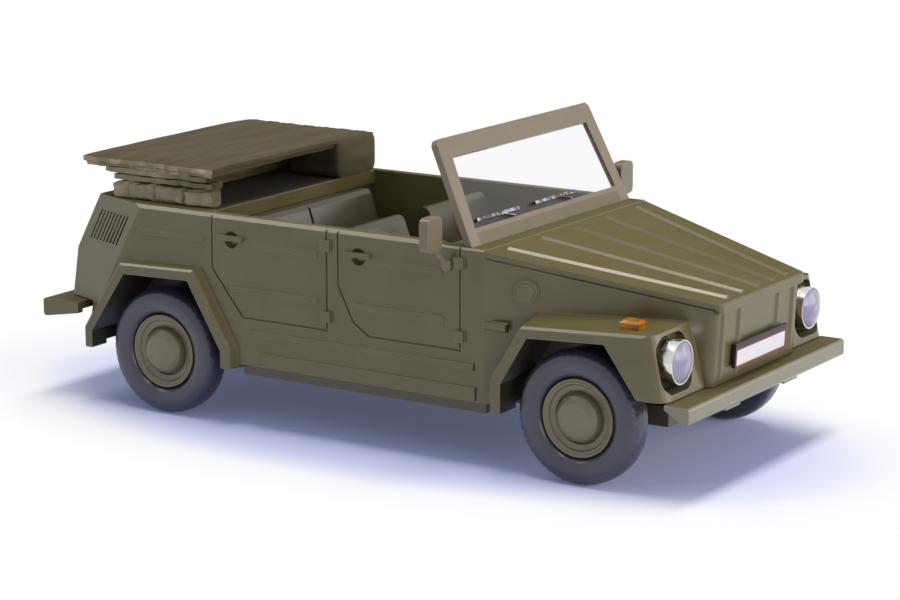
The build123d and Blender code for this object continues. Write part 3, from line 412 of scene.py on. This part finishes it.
def specked_metal(name, colour, roughness, grain):
    """A bright metal or metal ink whose gloss and height break up in fine specks."""
    material, tree, shader = new_material(name)
    specks = noise(tree, grain, detail=2)
    bump = tree.nodes.new("ShaderNodeBump")
    bump.inputs["Strength"].default_value = 0.3
    bump.inputs["Distance"].default_value = METAL_DEPTH
    shader.inputs["Base Color"].default_value = (*colour, 1)
    shader.inputs["Metallic"].default_value = 1
    tree.links.new(specks, bump.inputs["Height"])
    tree.links.new(bump.outputs[0], shader.inputs["Normal"])
    gloss = map_range(tree, specks, 0.3, 0.7, roughness, roughness + METAL_BREAK)
    tree.links.new(gloss, shader.inputs["Roughness"])
    return material


def printed_wiper():
    """Silver ink on the faces that lie along the pane, black rubber on the others."""
    material, tree, shader = new_material("silver_print_wiper")
    surface = tree.nodes.new("ShaderNodeNewGeometry")
    facing = tree.nodes.new("ShaderNodeVectorMath")
    facing.operation = "DOT_PRODUCT"
    facing.inputs[1].default_value = (math.cos(RAKE), 0, math.sin(RAKE))
    tree.links.new(surface.outputs["Normal"], facing.inputs[0])
    worn = map_range(tree, noise(tree, scale=2600, detail=2), *INK_WEAR, 1, 0.1)
    ink = map_range(tree, facing.outputs["Value"], *WIPER_FACING, 0, 1)
    inked = math_node(tree, "MULTIPLY", ink, worn)
    tree.links.new(blend_colour(tree, inked, BLACK, WIPER_SILVER), shader.inputs["Base Color"])
    tree.links.new(map_range(tree, inked, 0, 1, 0.6, 0.3), shader.inputs["Roughness"])
    return material


dress(printed_wiper(), "wiper_left", "wiper_right")

# Head lamps: domed lenses of clear polystyrene with a cold tint, pressed into silvered barrels that
# sit in the pockets of the front wings.
LAMP_SILVER = (0.74, 0.73, 0.75)
LENS_TINT = (0.76, 0.73, 0.94)
LENS_INDEX = 1.45
LENS_PASSING = 0.65
silver_print = specked_metal("silver_print", LAMP_SILVER, roughness=0.16, grain=3000)
dress(silver_print, "headlamp_reflector_left", "headlamp_reflector_right")
clear_lens, lens_tree, lens_shader = clear_plastic("clear_lens", LENS_TINT, LENS_INDEX, LENS_PASSING)
smeared(lens_tree, lens_shader, low=0.06, high=0.14, scale=900)
dress(clear_lens, "headlamp_lens_left", "headlamp_lens_right")

# Turn lamps and tail lamps: small blocks of tinted plastic that lets a little light through, with
# broken edges. The orange ones are glued on the wings and the red ones on the tail.
ORANGE = (0.56, 0.235, 0.002)
ORANGE_DEEP = (0.36, 0.115, 0.001)
RED = (0.45, 0.012, 0.01)
RED_DEEP = (0.22, 0.004, 0.004)
LAMP_PASSING = 0.1


def tinted_lamp(name, colour, deep):
    """A tinted plastic whose tone and gloss vary in soft clouds."""
    material, tree, shader = new_material(name)
    cloud = noise(tree, scale=900, detail=2)
    mask = map_range(tree, cloud, 0.4, 0.6, 0, 1)
    tree.links.new(blend_colour(tree, mask, colour, deep), shader.inputs["Base Color"])
    tree.links.new(map_range(tree, cloud, 0.3, 0.7, 0.10, 0.2), shader.inputs["Roughness"])
    shader.inputs["Transmission Weight"].default_value = LAMP_PASSING
    shader.inputs["Specular IOR Level"].default_value = PLASTIC_SPECULAR
    return material


orange_plastic = tinted_lamp("orange_plastic", ORANGE, ORANGE_DEEP)
red_plastic = tinted_lamp("red_plastic", RED, RED_DEEP)
dress(orange_plastic, "turn_lamp_left", "turn_lamp_right")
dress(red_plastic, "tail_lamp_left", "tail_lamp_right")

# Number plate: a white printed strip with a thin red rim on a black carrier, glued to the ribs of
# the nose. The carrier shows as a frame, widest along the top.
plate_low, plate_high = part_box("number_plate")
FIELD_SIDE = 0.14 * MM
FIELD_TOP = 0.33 * MM
FIELD_FOOT = 0.03 * MM
FIELD_RIM = 0.05 * MM
PRINT_LINE = 0.02 * MM
PLATE_WHITE = (0.70, 0.67, 0.67)
PLATE_RED = (0.42, 0.05, 0.06)
PLATE_FACING = (0.4, 0.6)
PLATE_ROUGH = 0.35


def plate_print():
    """White field, thin red rim and black carrier, by the distance inside the field's edges."""
    material, tree, shader = new_material("white_plate")
    axes = place_axes(tree)
    across = math_node(tree, "ABSOLUTE", axes["Y"], 0)
    side_gap = math_node(tree, "SUBTRACT", plate_high.y - FIELD_SIDE, across)
    top_gap = math_node(tree, "SUBTRACT", plate_high.z - FIELD_TOP, axes["Z"])
    foot_gap = math_node(tree, "SUBTRACT", axes["Z"], plate_low.z + FIELD_FOOT)
    inset = math_node(tree, "MINIMUM", side_gap, math_node(tree, "MINIMUM", top_gap, foot_gap))
    rim = map_range(tree, inset, FIELD_RIM, FIELD_RIM + PRINT_LINE, 1, 0)
    printed = blend_colour(tree, rim, PLATE_WHITE, PLATE_RED)
    front = map_range(tree, facing_axes(tree)["X"], *PLATE_FACING, 0, 1)
    within = map_range(tree, inset, -PRINT_LINE / 2, PRINT_LINE / 2, 0, 1)
    field = math_node(tree, "MULTIPLY", front, within)
    tree.links.new(blend_colour(tree, field, BLACK, printed), shader.inputs["Base Color"])
    shader.inputs["Roughness"].default_value = PLATE_ROUGH
    return material


dress(plate_print(), "number_plate")

# Axles: bright steel wire, cut to length. Each one turns in two lugs of the chassis plate, and its
# ends are pressed into the rims.
STEEL = (0.55, 0.54, 0.52)
axle_steel = specked_metal("axle_steel", STEEL, roughness=0.25, grain=4000)
dress(axle_steel, "front_axle", "rear_axle")

# Rims: dished wheels with a domed hub cap, moulded in a paler olive than the body's and pushed on
# the axle ends. A fine groove runs round the cap.
WHEEL_OLIVE = (0.145, 0.120, 0.060)
WHEEL_PALE = (0.26, 0.225, 0.14)
SPOKE_STEPS = 160
POLE_GAP = 0.00002 * MM
wheel_plastic = moulded_plastic("wheel_plastic", WHEEL_OLIVE, WHEEL_PALE, gloss=0.33, shine=0.7)
wheel_ends = [(end, side) for end in ("front", "rear") for side in ("left", "right")]
rim_rings = [
    # radius, distance outward from the wheel's middle plane
    (0.0, 0.10),
    (0.51, 0.10),
    (0.51, -0.648),
    (2.13, -0.648),
    (2.13, 0.648),
    (2.02, 0.648),
    (1.93, 0.55),
    (1.84, 0.56),
    (1.76, 0.43),
    (1.45, 0.41),
    (1.41, 0.24),
    (1.35, 0.24),
    (1.32, 0.50),
    (1.24, 0.72),
    (1.02, 0.90),
    (0.80, 0.97),
    (0.72, 0.95),
    (0.45, 1.00),
    (0.0, 1.02),
]


def grid_mesh(name, points, closed_rows=True, closed_columns=True):
    """A mesh from a grid of points, rows by columns, each corner joined to its next neighbours.
    A closed way joins the last line of points to the first. Where a line of points meets in one
    place, a pole, its points are merged."""
    rows, columns = points.shape[:2]
    index = np.arange(rows * columns).reshape(rows, columns)
    if closed_rows:
        index = np.vstack((index, index[:1]))
    if closed_columns:
        index = np.hstack((index, index[:, :1]))
    quads = np.stack((index[:-1, :-1], index[:-1, 1:], index[1:, 1:], index[1:, :-1]), axis=-1)
    mesh = bpy.data.meshes.new(name)
    mesh.from_pydata(points.reshape(-1, 3).tolist(), [], quads.reshape(-1, 4).tolist())
    if closed_rows or closed_columns:
        shell = bmesh.new()
        shell.from_mesh(mesh)
        bmesh.ops.remove_doubles(shell, verts=shell.verts, dist=POLE_GAP)
        bmesh.ops.recalc_face_normals(shell, faces=shell.faces)
        shell.to_mesh(mesh)
        shell.free()
    mesh.polygons.foreach_set("use_smooth", np.ones(len(mesh.polygons), bool))
    return mesh


def place_piece(name, mesh, material, body, slot, *replaced):
    """Adds a new piece to the scene, dressed and riding on its body. Its slot is not used."""
    piece = bpy.data.objects.new(name, mesh)
    bpy.context.scene.collection.objects.link(piece)
    piece.data.materials.append(material)
    if replaced:
        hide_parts(*replaced)
    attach(piece, body)
    return piece


def soften_edges(piece, width, segments, angle):
    """A Bevel modifier that rounds the edges that turn by more than an angle in degrees."""
    soften = piece.modifiers.new("soften", "BEVEL")
    soften.width = width
    soften.segments = segments
    soften.limit_method = "ANGLE"
    soften.angle_limit = math.radians(angle)


def turned_points(centre, rings, outward):
    """A profile of rings turned about the axle: the ring at radius r and distance d outward is the
    circle (r sin u, d, r cos u). A ring of no radius is a pole."""
    u = np.linspace(0, 2 * np.pi, SPOKE_STEPS, endpoint=False)[:, None]
    r, d = (np.array(rings).T * MM)[:, None, :]
    grid = np.stack((outward * r * np.sin(u), outward * d + 0 * u, r * np.cos(u)), axis=-1)
    return grid + np.array(centre)


for end, side in wheel_ends:
    outward = 1 if side == "left" else -1
    low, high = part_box(f"tyre_{end}_{side}")
    rim = grid_mesh(
        f"wheel_{end}_{side}",
        turned_points((low + high) / 2, rim_rings, outward),
        closed_columns=False,
    )
    body = f"{end}_wheels"
    wheel = place_piece(rim.name, rim, wheel_plastic, body, "wheel_plastic", f"rim_{end}_{side}")
    soften_edges(wheel, width=0.03 * MM, segments=2, angle=20)

# Tyres: rings of soft blue-black vinyl stretched over the rims, round in the wall, with two faint
# rings on each wall, two lines round the tread and short shallow grooves at its edges.
RUBBER = (0.032, 0.031, 0.050)
RUBBER_PALE = (0.066, 0.065, 0.100)
TREAD_BLOCKS = 48
AROUND = TREAD_BLOCKS * 8
ACROSS = 72
TYRE_SQUARE = 2.7
BORE_GAP = 0.02 * MM
GROOVE_DEPTH = 0.03 * MM
GROOVE_SHIFT = 2.2
LINE_DEPTH = 0.04 * MM
LINE_PLACE = 0.24
RING_DEPTH = 0.025 * MM
RING_PLACES = (0.42, -0.35)
MARK_WIDTH = 0.05


def squared_circle(angle, square):
    """Cosine and sine drawn out towards a square: each keeps its sign and takes the power two by
    the square number, where two gives a circle and more gives straighter sides."""
    power = 2 / square
    cosine = np.sign(np.cos(angle)) * np.abs(np.cos(angle)) ** power
    sine = np.sign(np.sin(angle)) * np.abs(np.sin(angle)) ** power
    return cosine, sine


def tyre_points(centre, radius, bore, half_width):
    """A ring: a round-cornered section of angle v turned through angle u about the axle. The radius
    sinks by the grooves at the tread's edges and by two lines round it, and the width sinks by two
    rings on each wall."""
    u = np.linspace(0, 2 * np.pi, AROUND, endpoint=False)[:, None]
    v = np.linspace(0, 2 * np.pi, ACROSS, endpoint=False)[None, :]
    up, out = squared_circle(v, TYRE_SQUARE)
    middle = (radius + bore) / 2
    deep = (radius - bore) / 2
    tread = np.clip((up - 0.6) / 0.2, 0, 1)
    shoulder = np.clip((np.abs(out) - 0.5) / 0.2, 0, 1)
    wave = np.cos(TREAD_BLOCKS * u + GROOVE_SHIFT * np.sign(out))
    groove = np.clip((wave - 0.25) / 0.5, 0, 1) * tread * shoulder
    line = np.exp(-(((np.abs(out) - LINE_PLACE) / MARK_WIDTH) ** 2)) * np.clip((up - 0.5) / 0.3, 0, 1)
    wall_rings = sum(np.exp(-(((up - place) / MARK_WIDTH) ** 2)) for place in RING_PLACES)
    r = middle + deep * up - GROOVE_DEPTH * groove - LINE_DEPTH * line
    y = half_width * out - RING_DEPTH * wall_rings * np.sign(out)
    grid = np.stack((r * np.sin(u), y + 0 * u, r * np.cos(u)), axis=-1)
    return grid + np.array(centre)


rubber = moulded_plastic("tyre", RUBBER, RUBBER_PALE, flow=0.4, gloss=0.4, grain=0.35, shine=0.6)
for end, side in wheel_ends:
    low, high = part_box(f"tyre_{end}_{side}")
    rim_low, rim_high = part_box(f"rim_{end}_{side}")
    ring = grid_mesh(
        f"tread_{end}_{side}",
        tyre_points(
            centre=(low + high) / 2,
            radius=(high.z - low.z) / 2,
            bore=(rim_high.z - rim_low.z) / 2 + BORE_GAP,
            half_width=(high.y - low.y) / 2,
        ),
    )
    place_piece(ring.name, ring, rubber, f"{end}_wheels", "tyre", f"tyre_{end}_{side}")

# Folded top: the car's soft top as it lies folded on the rear deck, moulded in hard brown-olive
# plastic and glued on. The lowest pleats hold the bows, two folds lie on them, and the widest fold
# covers the stack like a lid.
LID_CANVAS = (0.062, 0.050, 0.025)
LID_PALE = (0.100, 0.082, 0.045)
# Painted light: the folds and the faces turned to the right side take these paler tones.
FOLD_PAINTED_LIGHT = (0.215, 0.175, 0.094)
FOLD_PAINTED_HIGHLIGHT = (0.45, 0.375, 0.225)
STREAK_SCALE = 1100
STREAK_DEPTH = 0.06 * MM
SIDE_FACING = (-0.5, -0.8)
SIDE_FADE = 4 * MM
canvas_low, canvas_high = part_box("folded_top_canvas")


def canvas_print(name, dark, pale, stretch):
    """Cloth look on hard plastic: streaks of a paler tone, from a noise drawn out along one axis.
    Faces on the right that turn to the right side take the paler tones of the folds as painted
    light, for the light that the folds' edges catch there."""
    material, tree, shader = new_material(name)
    streak = noise(tree, STREAK_SCALE, 4, stretch)
    bump = tree.nodes.new("ShaderNodeBump")
    bump.inputs["Strength"].default_value = 0.6
    bump.inputs["Distance"].default_value = STREAK_DEPTH
    tree.links.new(streak, bump.inputs["Height"])
    tree.links.new(bump.outputs[0], shader.inputs["Normal"])
    mask = map_range(tree, streak, 0.35, 0.68, 0, 1)
    # Painted light: faces on the right that turn to the right side pale to the fold tones.
    turned = map_range(tree, facing_axes(tree)["Y"], *SIDE_FACING, 0, 1)
    right = map_range(tree, place_axes(tree)["Y"], -SIDE_FADE, 0, 1, 0)
    side = math_node(tree, "MULTIPLY", turned, right)
    top_tone = blend_colour(tree, mask, dark, pale)
    painted_light_tone = blend_colour(tree, mask, FOLD_PAINTED_LIGHT, FOLD_PAINTED_HIGHLIGHT)
    tree.links.new(blend_colour(tree, side, top_tone, painted_light_tone), shader.inputs["Base Color"])
    tree.links.new(map_range(tree, streak, 0.3, 0.7, 0.85, 1.0), shader.inputs["Roughness"])
    shader.inputs["Specular IOR Level"].default_value = 0.2
    return material


lid_canvas = canvas_print("top_plastic", LID_CANVAS, LID_PALE, (1, 0.12, 1))
# The folds are the lid's plastic with streaks of the paler fold tone, as painted light.
fold_canvas_painted_light = canvas_print("top_plastic_fold_painted_light", LID_CANVAS, FOLD_PAINTED_LIGHT, (0.15, 0.15, 1))
MOUTH = 4.5 * MM
RIGHT_ROLL = 1.1 * MM
LEFT_ROLL = 3.6 * MM
RIGHT_BACK = 0.45 * MM
FOLD_TURNS = (0, 0.36, 0.64, 1.0)
FOLD_SQUARE = 5
FOLD_SWAY = 0.08 * MM
FOLD_RIPPLE = 0.05 * MM
FOLD_CREST = 0.03 * MM
PLY_DEPTH = 0.13 * MM
TIP_SHARE = 0.012


def fold_points(rear, front, half, low, high, notches, plies, seed):
    """A roll of cloth carried round a U in plan: out of the mouth on the right, across the back and
    forward on the left. Across it runs a round-cornered section between the U's outer and inner
    line. The lines and the height sway in slow waves, the plies groove the outer face along its
    length, and the notches press it in."""
    steps, around = 520, 56
    right, mouth = front - RIGHT_BACK, front - MOUTH
    outer = np.array([(right, -half), (rear, -half), (rear, half), (front, half)])
    inner_right, inner_left = RIGHT_ROLL - half, half - LEFT_ROLL
    inner = np.array(
        [(right, inner_right), (mouth, inner_right), (mouth, inner_left), (front, inner_left)]
    )
    s = np.linspace(0, 1, steps)
    outer = np.stack([np.interp(s, FOLD_TURNS, outer[:, k]) for k in (0, 1)], axis=1)
    inner = np.stack([np.interp(s, FOLD_TURNS, inner[:, k]) for k in (0, 1)], axis=1)
    press = np.zeros(steps)
    beside = np.abs(outer[:, 1]) > half * 0.999
    for place, width, depth in notches:
        press += beside * depth * np.exp(-(((outer[:, 0] - place) / width) ** 4))
    sway = FOLD_SWAY * np.sin(s * 47 + seed) + FOLD_RIPPLE * np.sin(s * 131 + 2 * seed)
    t = np.linspace(0, 2 * np.pi, around, endpoint=False)
    outward, upward = squared_circle(t, FOLD_SQUARE)
    a = 0.5 - 0.5 * outward
    h = 0.5 + 0.5 * upward
    ply = 0.5 + 0.5 * np.cos(2 * np.pi * plies * h[None, :] + 1.3 * np.sin(s * 23 + seed)[:, None])
    ply = ply**3
    cap = np.clip(np.minimum(s, 1 - s) / TIP_SHARE, 0, 1)
    cap = (1 - (1 - cap) ** 4) ** 0.25
    a = 0.5 + (a[None, :] - 0.5) * cap[:, None]
    h = 0.5 + (h[None, :] - 0.5) * cap[:, None]
    width = np.linalg.norm(inner - outer, axis=1)
    push = ((press + sway)[:, None] + PLY_DEPTH * ply) / width[:, None]
    a = a + push * (1 - a)
    xy = outer[:, None, :] * (1 - a[..., None]) + inner[:, None, :] * a[..., None]
    z = low + (high - low) * h + FOLD_CREST * np.sin(s * 61 + seed)[:, None] * h
    return np.concatenate((xy, z[..., None]), axis=2)


LID_MARGIN = 0.08 * MM
LID_DROOP = 0.10 * MM
LID_WAVE = 0.014 * MM
LID_END_SWAY = 0.04 * MM
LID_SIDE_SWAY = 0.05 * MM
LID_RIPPLE = 0.015 * MM


def sheet_points(rear, front, half, top, seed):
    """One ply of the covering fold: a grid over X and Y whose height falls in fine waves that run
    across the car, and whose four edges sway a little in plan."""
    x = np.linspace(0, 1, 170)[None, :]
    y = np.linspace(-1, 1, 150)[:, None]
    end_sway = LID_END_SWAY * np.sin(y * 7 + seed) + LID_RIPPLE * np.sin(y * 23 + 2 * seed)
    side_sway = LID_SIDE_SWAY * np.sin(x * 9 + seed) + LID_RIPPLE * np.sin(x * 37 + seed)
    along = rear + (front - rear) * x
    wave = np.sin(along / MM * 4.6 + 0.9 * np.sin(y * 4 + seed))
    wave = wave + 0.7 * np.sin(along / MM * 11.3 + 1.7 * np.sin(y * 2.5 + 1 + seed))
    droop = LID_DROOP * np.abs(y) ** 8
    along = along + (LID_MARGIN + end_sway) * (1 - 2 * x)
    z = top + LID_WAVE * (wave - 1.7) - droop
    return np.stack((along, y * (half - LID_MARGIN + side_sway), z), axis=-1)


WRAP_SQUARE = 6
WRAP_TIP = 0.5 * MM
WRAP_CREASE = 0.05 * MM
WRAP_SHORT = 0.06 * MM
WRAP_SINK = 0.2 * MM


def wrap_points(rear, front, near, far, low, high):
    """The end of the left roll, wrapped in cloth: a round-cornered section in Y and Z carried
    forward along X. It draws in over its last half millimetre, creases a little, and sinks under
    the lid towards the rear."""
    s = np.linspace(0, 1, 120)[:, None]
    t = np.linspace(0, 2 * np.pi, 96, endpoint=False)[None, :]
    out, up = squared_circle(t, WRAP_SQUARE)
    tip = np.clip((1 - s) * (front - rear) / WRAP_TIP, 0, 1)
    tip = (1 - (1 - tip) ** 3) ** (1 / 3) * np.clip(s / 0.02, 0, 1)
    crease = WRAP_CREASE * np.sin(7 * out + 4 * up) * tip * np.clip(0.9 - np.abs(out), 0, 1)
    x = rear + (front - rear - WRAP_SHORT) * s + crease * s
    y = (near + far) / 2 + (far - near) / 2 * out * tip
    z = (low + high) / 2 + (high - low) / 2 * up * tip - WRAP_SINK * (1 - s) ** 2 * (up > 0)
    return np.stack((x + 0 * t, y, z), axis=-1)


LID_THICK = 0.55 * MM
LID_BACK = 0.45 * MM
FOLD_THICK = 0.42 * MM
PLEAT_WIDTH = 0.16 * MM
PLEAT_DEPTH = 0.5 * MM
TEAR_WIDTH = 0.25 * MM
TEAR_DEPTH = 0.2 * MM
WRAP_LENGTH = 3.5 * MM
WRAP_NEAR = 0.25 * MM
WRAP_FAR = 0.12 * MM
lid_foot = canvas_high.z - LID_THICK
lid_front = canvas_high.x - LID_BACK
pleats = [(bows_low.x + place * MM, PLEAT_WIDTH, PLEAT_DEPTH) for place in (0.75, 2.75, 4.95)]
tears = [(bows_low.x + place * MM, TEAR_WIDTH, TEAR_DEPTH) for place in (2.2, 4.3, 6.2)]
fold_columns = ("name", "rear", "front", "half", "low", "high", "notches", "plies", "seed")
middle_z = bows_high.z + FOLD_THICK
folds = [
    ("top_bow_pack", 0, -0.3, 7.75, bows_low.z, bows_high.z, pleats, 2, 0.3),
    ("top_fold_lower", 0.1, -0.2, 7.7, bows_high.z, middle_z, tears, 2, 1.7),
    ("top_fold_upper", 0.6, -0.45, 7.95, middle_z, lid_foot, tears[:1], 2, 2.9),
]
for values in folds:
    fold = dict(zip(fold_columns, values))
    points = fold_points(
        rear=bows_low.x - fold["rear"] * MM,
        front=bows_high.x + fold["front"] * MM,
        half=fold["half"] * MM,
        low=fold["low"],
        high=fold["high"],
        notches=fold["notches"],
        plies=fold["plies"],
        seed=fold["seed"],
    )
    mesh = grid_mesh(fold["name"], points, closed_rows=False)
    replaced = ["folded_top_bows"] if fold["name"] == "top_bow_pack" else []
    place_piece(fold["name"], mesh, fold_canvas_painted_light, "car", "top_plastic", *replaced)
sheet_columns = ("name", "inset", "drop", "thick", "seed")
for values in (("top_lid", 0, 0, 0.30, 0.4), ("top_lid_lower", 0.13, 0.29, 0.24, 1.9)):
    sheet = dict(zip(sheet_columns, values))
    inset = sheet["inset"] * MM
    points = sheet_points(
        rear=canvas_low.x + inset,
        front=lid_front - inset,
        half=canvas_high.y - inset,
        top=canvas_high.z - sheet["drop"] * MM,
        seed=sheet["seed"],
    )
    mesh = grid_mesh(sheet["name"], points, closed_rows=False, closed_columns=False)
    replaced = ["folded_top_canvas"] if sheet["name"] == "top_lid" else []
    piece = place_piece(sheet["name"], mesh, lid_canvas, "car", "top_plastic", *replaced)
    thicken = piece.modifiers.new("thicken", "SOLIDIFY")
    thicken.thickness = sheet["thick"] * MM
    thicken.offset = -1
    soften_edges(piece, width=0.09 * MM, segments=3, angle=50)
wrap = grid_mesh(
    "top_roll_end",
    wrap_points(
        rear=lid_front - WRAP_LENGTH,
        front=canvas_high.x,
        near=bows_high.y - LEFT_ROLL - WRAP_NEAR,
        far=bows_high.y + WRAP_FAR,
        low=bows_low.z,
        high=canvas_high.z,
    ),
    closed_rows=False,
)
place_piece(wrap.name, wrap, lid_canvas, "car", "top_plastic")

# Floor: a plain pale sheet of matt card under the car. Near the wheels it is tinted blue and glows
# a faint blue as painted shade, so that the shadow there is bluish and lighter. It fades to white in
# an oval further out.
FLOOR_HALF = 1.0
FLOOR_OVAL = (0.92, 1.75, 1)
PAINTED_SHADE_REACH = (19.5 * MM, 25.5 * MM)
PAINTED_SHADE_TINT = (0.70, 0.72, 0.98)
PAINTED_SHADE_GLOW = (0.56, 0.64, 1.0)
PALE_TINT = (0.86, 0.87, 0.92)
WHITE_GLOW = (1.0, 1.0, 1.0)
WHITE_REACH = (21.5 * MM, 32 * MM)
WHITE_LEAST = 0.10
floor_corners = [(x * FLOOR_HALF, y * FLOOR_HALF, 0) for x, y in ((-1, -1), (1, -1), (1, 1), (-1, 1))]
floor_mesh = bpy.data.meshes.new("floor")
floor_mesh.from_pydata(floor_corners, [], [(0, 1, 2, 3)])
floor = bpy.data.objects.new("floor", floor_mesh)
bpy.context.scene.collection.objects.link(floor)
floor_paint, floor_tree, floor_shader = new_material("floor_paint")
floor_shader.inputs["Roughness"].default_value = 0.9
floor_shader.inputs["Specular IOR Level"].default_value = 0
floor_place = floor_tree.nodes.new("ShaderNodeTexCoord")
floor_reach = floor_tree.nodes.new("ShaderNodeVectorMath")
floor_reach.operation = "LENGTH"
floor_white = floor_tree.nodes.new("ShaderNodeEmission")
floor_mix = floor_tree.nodes.new("ShaderNodeMixShader")
floor_oval = floor_tree.nodes.new("ShaderNodeMapping")
floor_oval.inputs["Scale"].default_value = FLOOR_OVAL
floor_tree.links.new(floor_place.outputs["Object"], floor_oval.inputs["Vector"])
floor_tree.links.new(floor_oval.outputs[0], floor_reach.inputs[0])
# Painted shade: a blue tint and a faint blue glow near the car.
floor_painted_shade = map_range(floor_tree, floor_reach.outputs["Value"], *PAINTED_SHADE_REACH, 0, 1)
floor_tint = blend_colour(floor_tree, floor_painted_shade, PAINTED_SHADE_TINT, PALE_TINT)
floor_tree.links.new(floor_tint, floor_shader.inputs["Base Color"])
floor_glow = blend_colour(floor_tree, floor_painted_shade, PAINTED_SHADE_GLOW, WHITE_GLOW)
floor_tree.links.new(floor_glow, floor_white.inputs["Color"])
floor_far = map_range(floor_tree, floor_reach.outputs["Value"], *WHITE_REACH, WHITE_LEAST, 1)


def seen_rays(tree):
    """One for the rays that meet the eye straight, by a reflection or through clear plastic."""
    path = tree.nodes.new("ShaderNodeLightPath")
    seen = math_node(tree, "MAXIMUM", path.outputs["Is Camera Ray"], path.outputs["Is Glossy Ray"])
    return math_node(tree, "MAXIMUM", seen, path.outputs["Is Transmission Ray"])


link_chain(
    floor_tree,
    (math_node(floor_tree, "MULTIPLY", seen_rays(floor_tree), floor_far), floor_mix.inputs[0]),
    (floor_shader.outputs[0], floor_mix.inputs[1]),
    (floor_white.outputs[0], floor_mix.inputs[2]),
    (floor_mix.outputs[0], floor_tree.nodes["Material Output"].inputs["Surface"]),
)
floor.data.materials.append(floor_paint)

# Light: a white surround for the eye and a weak blue one for the shade. A long soft box hangs over
# the car from side to side, wide lights stand off the far front corner and ahead of the nose, and a
# weak one hangs high behind the tail.
SHADE_BLUE = (0.56, 0.67, 1.0)
SHADE_STRENGTH = 0.42
world = bpy.data.worlds.new("studio")
bpy.context.scene.world = world
world.use_nodes = True
sky = world.node_tree
shade = sky.nodes["Background"]
shade.inputs["Color"].default_value = (*SHADE_BLUE, 1)
shade.inputs["Strength"].default_value = SHADE_STRENGTH
white = sky.nodes.new("ShaderNodeBackground")
sky_mix = sky.nodes.new("ShaderNodeMixShader")
link_chain(
    sky,
    (seen_rays(sky), sky_mix.inputs[0]),
    (shade.outputs[0], sky_mix.inputs[1]),
    (white.outputs[0], sky_mix.inputs[2]),
    (sky_mix.outputs[0], sky.nodes["World Output"].inputs["Surface"]),
)
lamp_columns = ("name", "place", "size", "span", "power", "colour")
lamps = [
    ("top_light", (0.03, 0.03, 0.30), 0.07, 0.24, 0.62, (1.0, 0.95, 0.84)),
    ("corner_light", (0.30, 0.17, 0.07), 0.34, 0.13, 0.44, (1.0, 0.95, 0.93)),
    ("front_light", (0.34, -0.04, 0.12), 0.30, 0.20, 0.46, (1.0, 0.96, 0.92)),
    ("tail_light", (-0.20, -0.04, 0.28), 0.12, 0.12, 0.20, (1.0, 0.97, 0.90)),
]
for values in lamps:
    row = dict(zip(lamp_columns, values))
    light = bpy.data.lights.new(row["name"], "AREA")
    light.shape = "RECTANGLE"
    light.size = row["size"]
    light.size_y = row["span"]
    light.energy = row["power"]
    light.color = row["colour"]
    lamp = bpy.data.objects.new(row["name"], light)
    bpy.context.scene.collection.objects.link(lamp)
    lamp.location = row["place"]
    if row["name"] != "top_light":
        lamp.rotation_euler = (-Vector(row["place"])).to_track_quat("-Z", "Y").to_euler()

# Camera: a long lens off the right front corner that looks down a little. Its angles are taken
# about a target near the middle of the car.
azimuth = math.radians(32.867)
elevation = math.radians(12.614)
distance = 161.404 * MM
target = Vector((1.064 * MM, 0, 6.79 * MM))
backward = Vector((
    math.sin(azimuth) * math.cos(elevation),
    -math.cos(azimuth) * math.cos(elevation),
    math.sin(elevation),
))
rightward = Vector((math.cos(azimuth), math.sin(azimuth), 0))
camera = bpy.data.objects.new("camera", bpy.data.cameras.new("camera"))
camera.data.lens = 112.86
camera.data.sensor_width = 36
camera.data.clip_start = 10 * MM
stand = Matrix((rightward, backward.cross(rightward), backward)).transposed().to_4x4()
stand.translation = target + backward * distance
camera.matrix_world = stand
bpy.context.scene.collection.objects.link(camera)
bpy.context.scene.camera = camera
bpy.context.scene.view_settings.view_transform = "Standard"
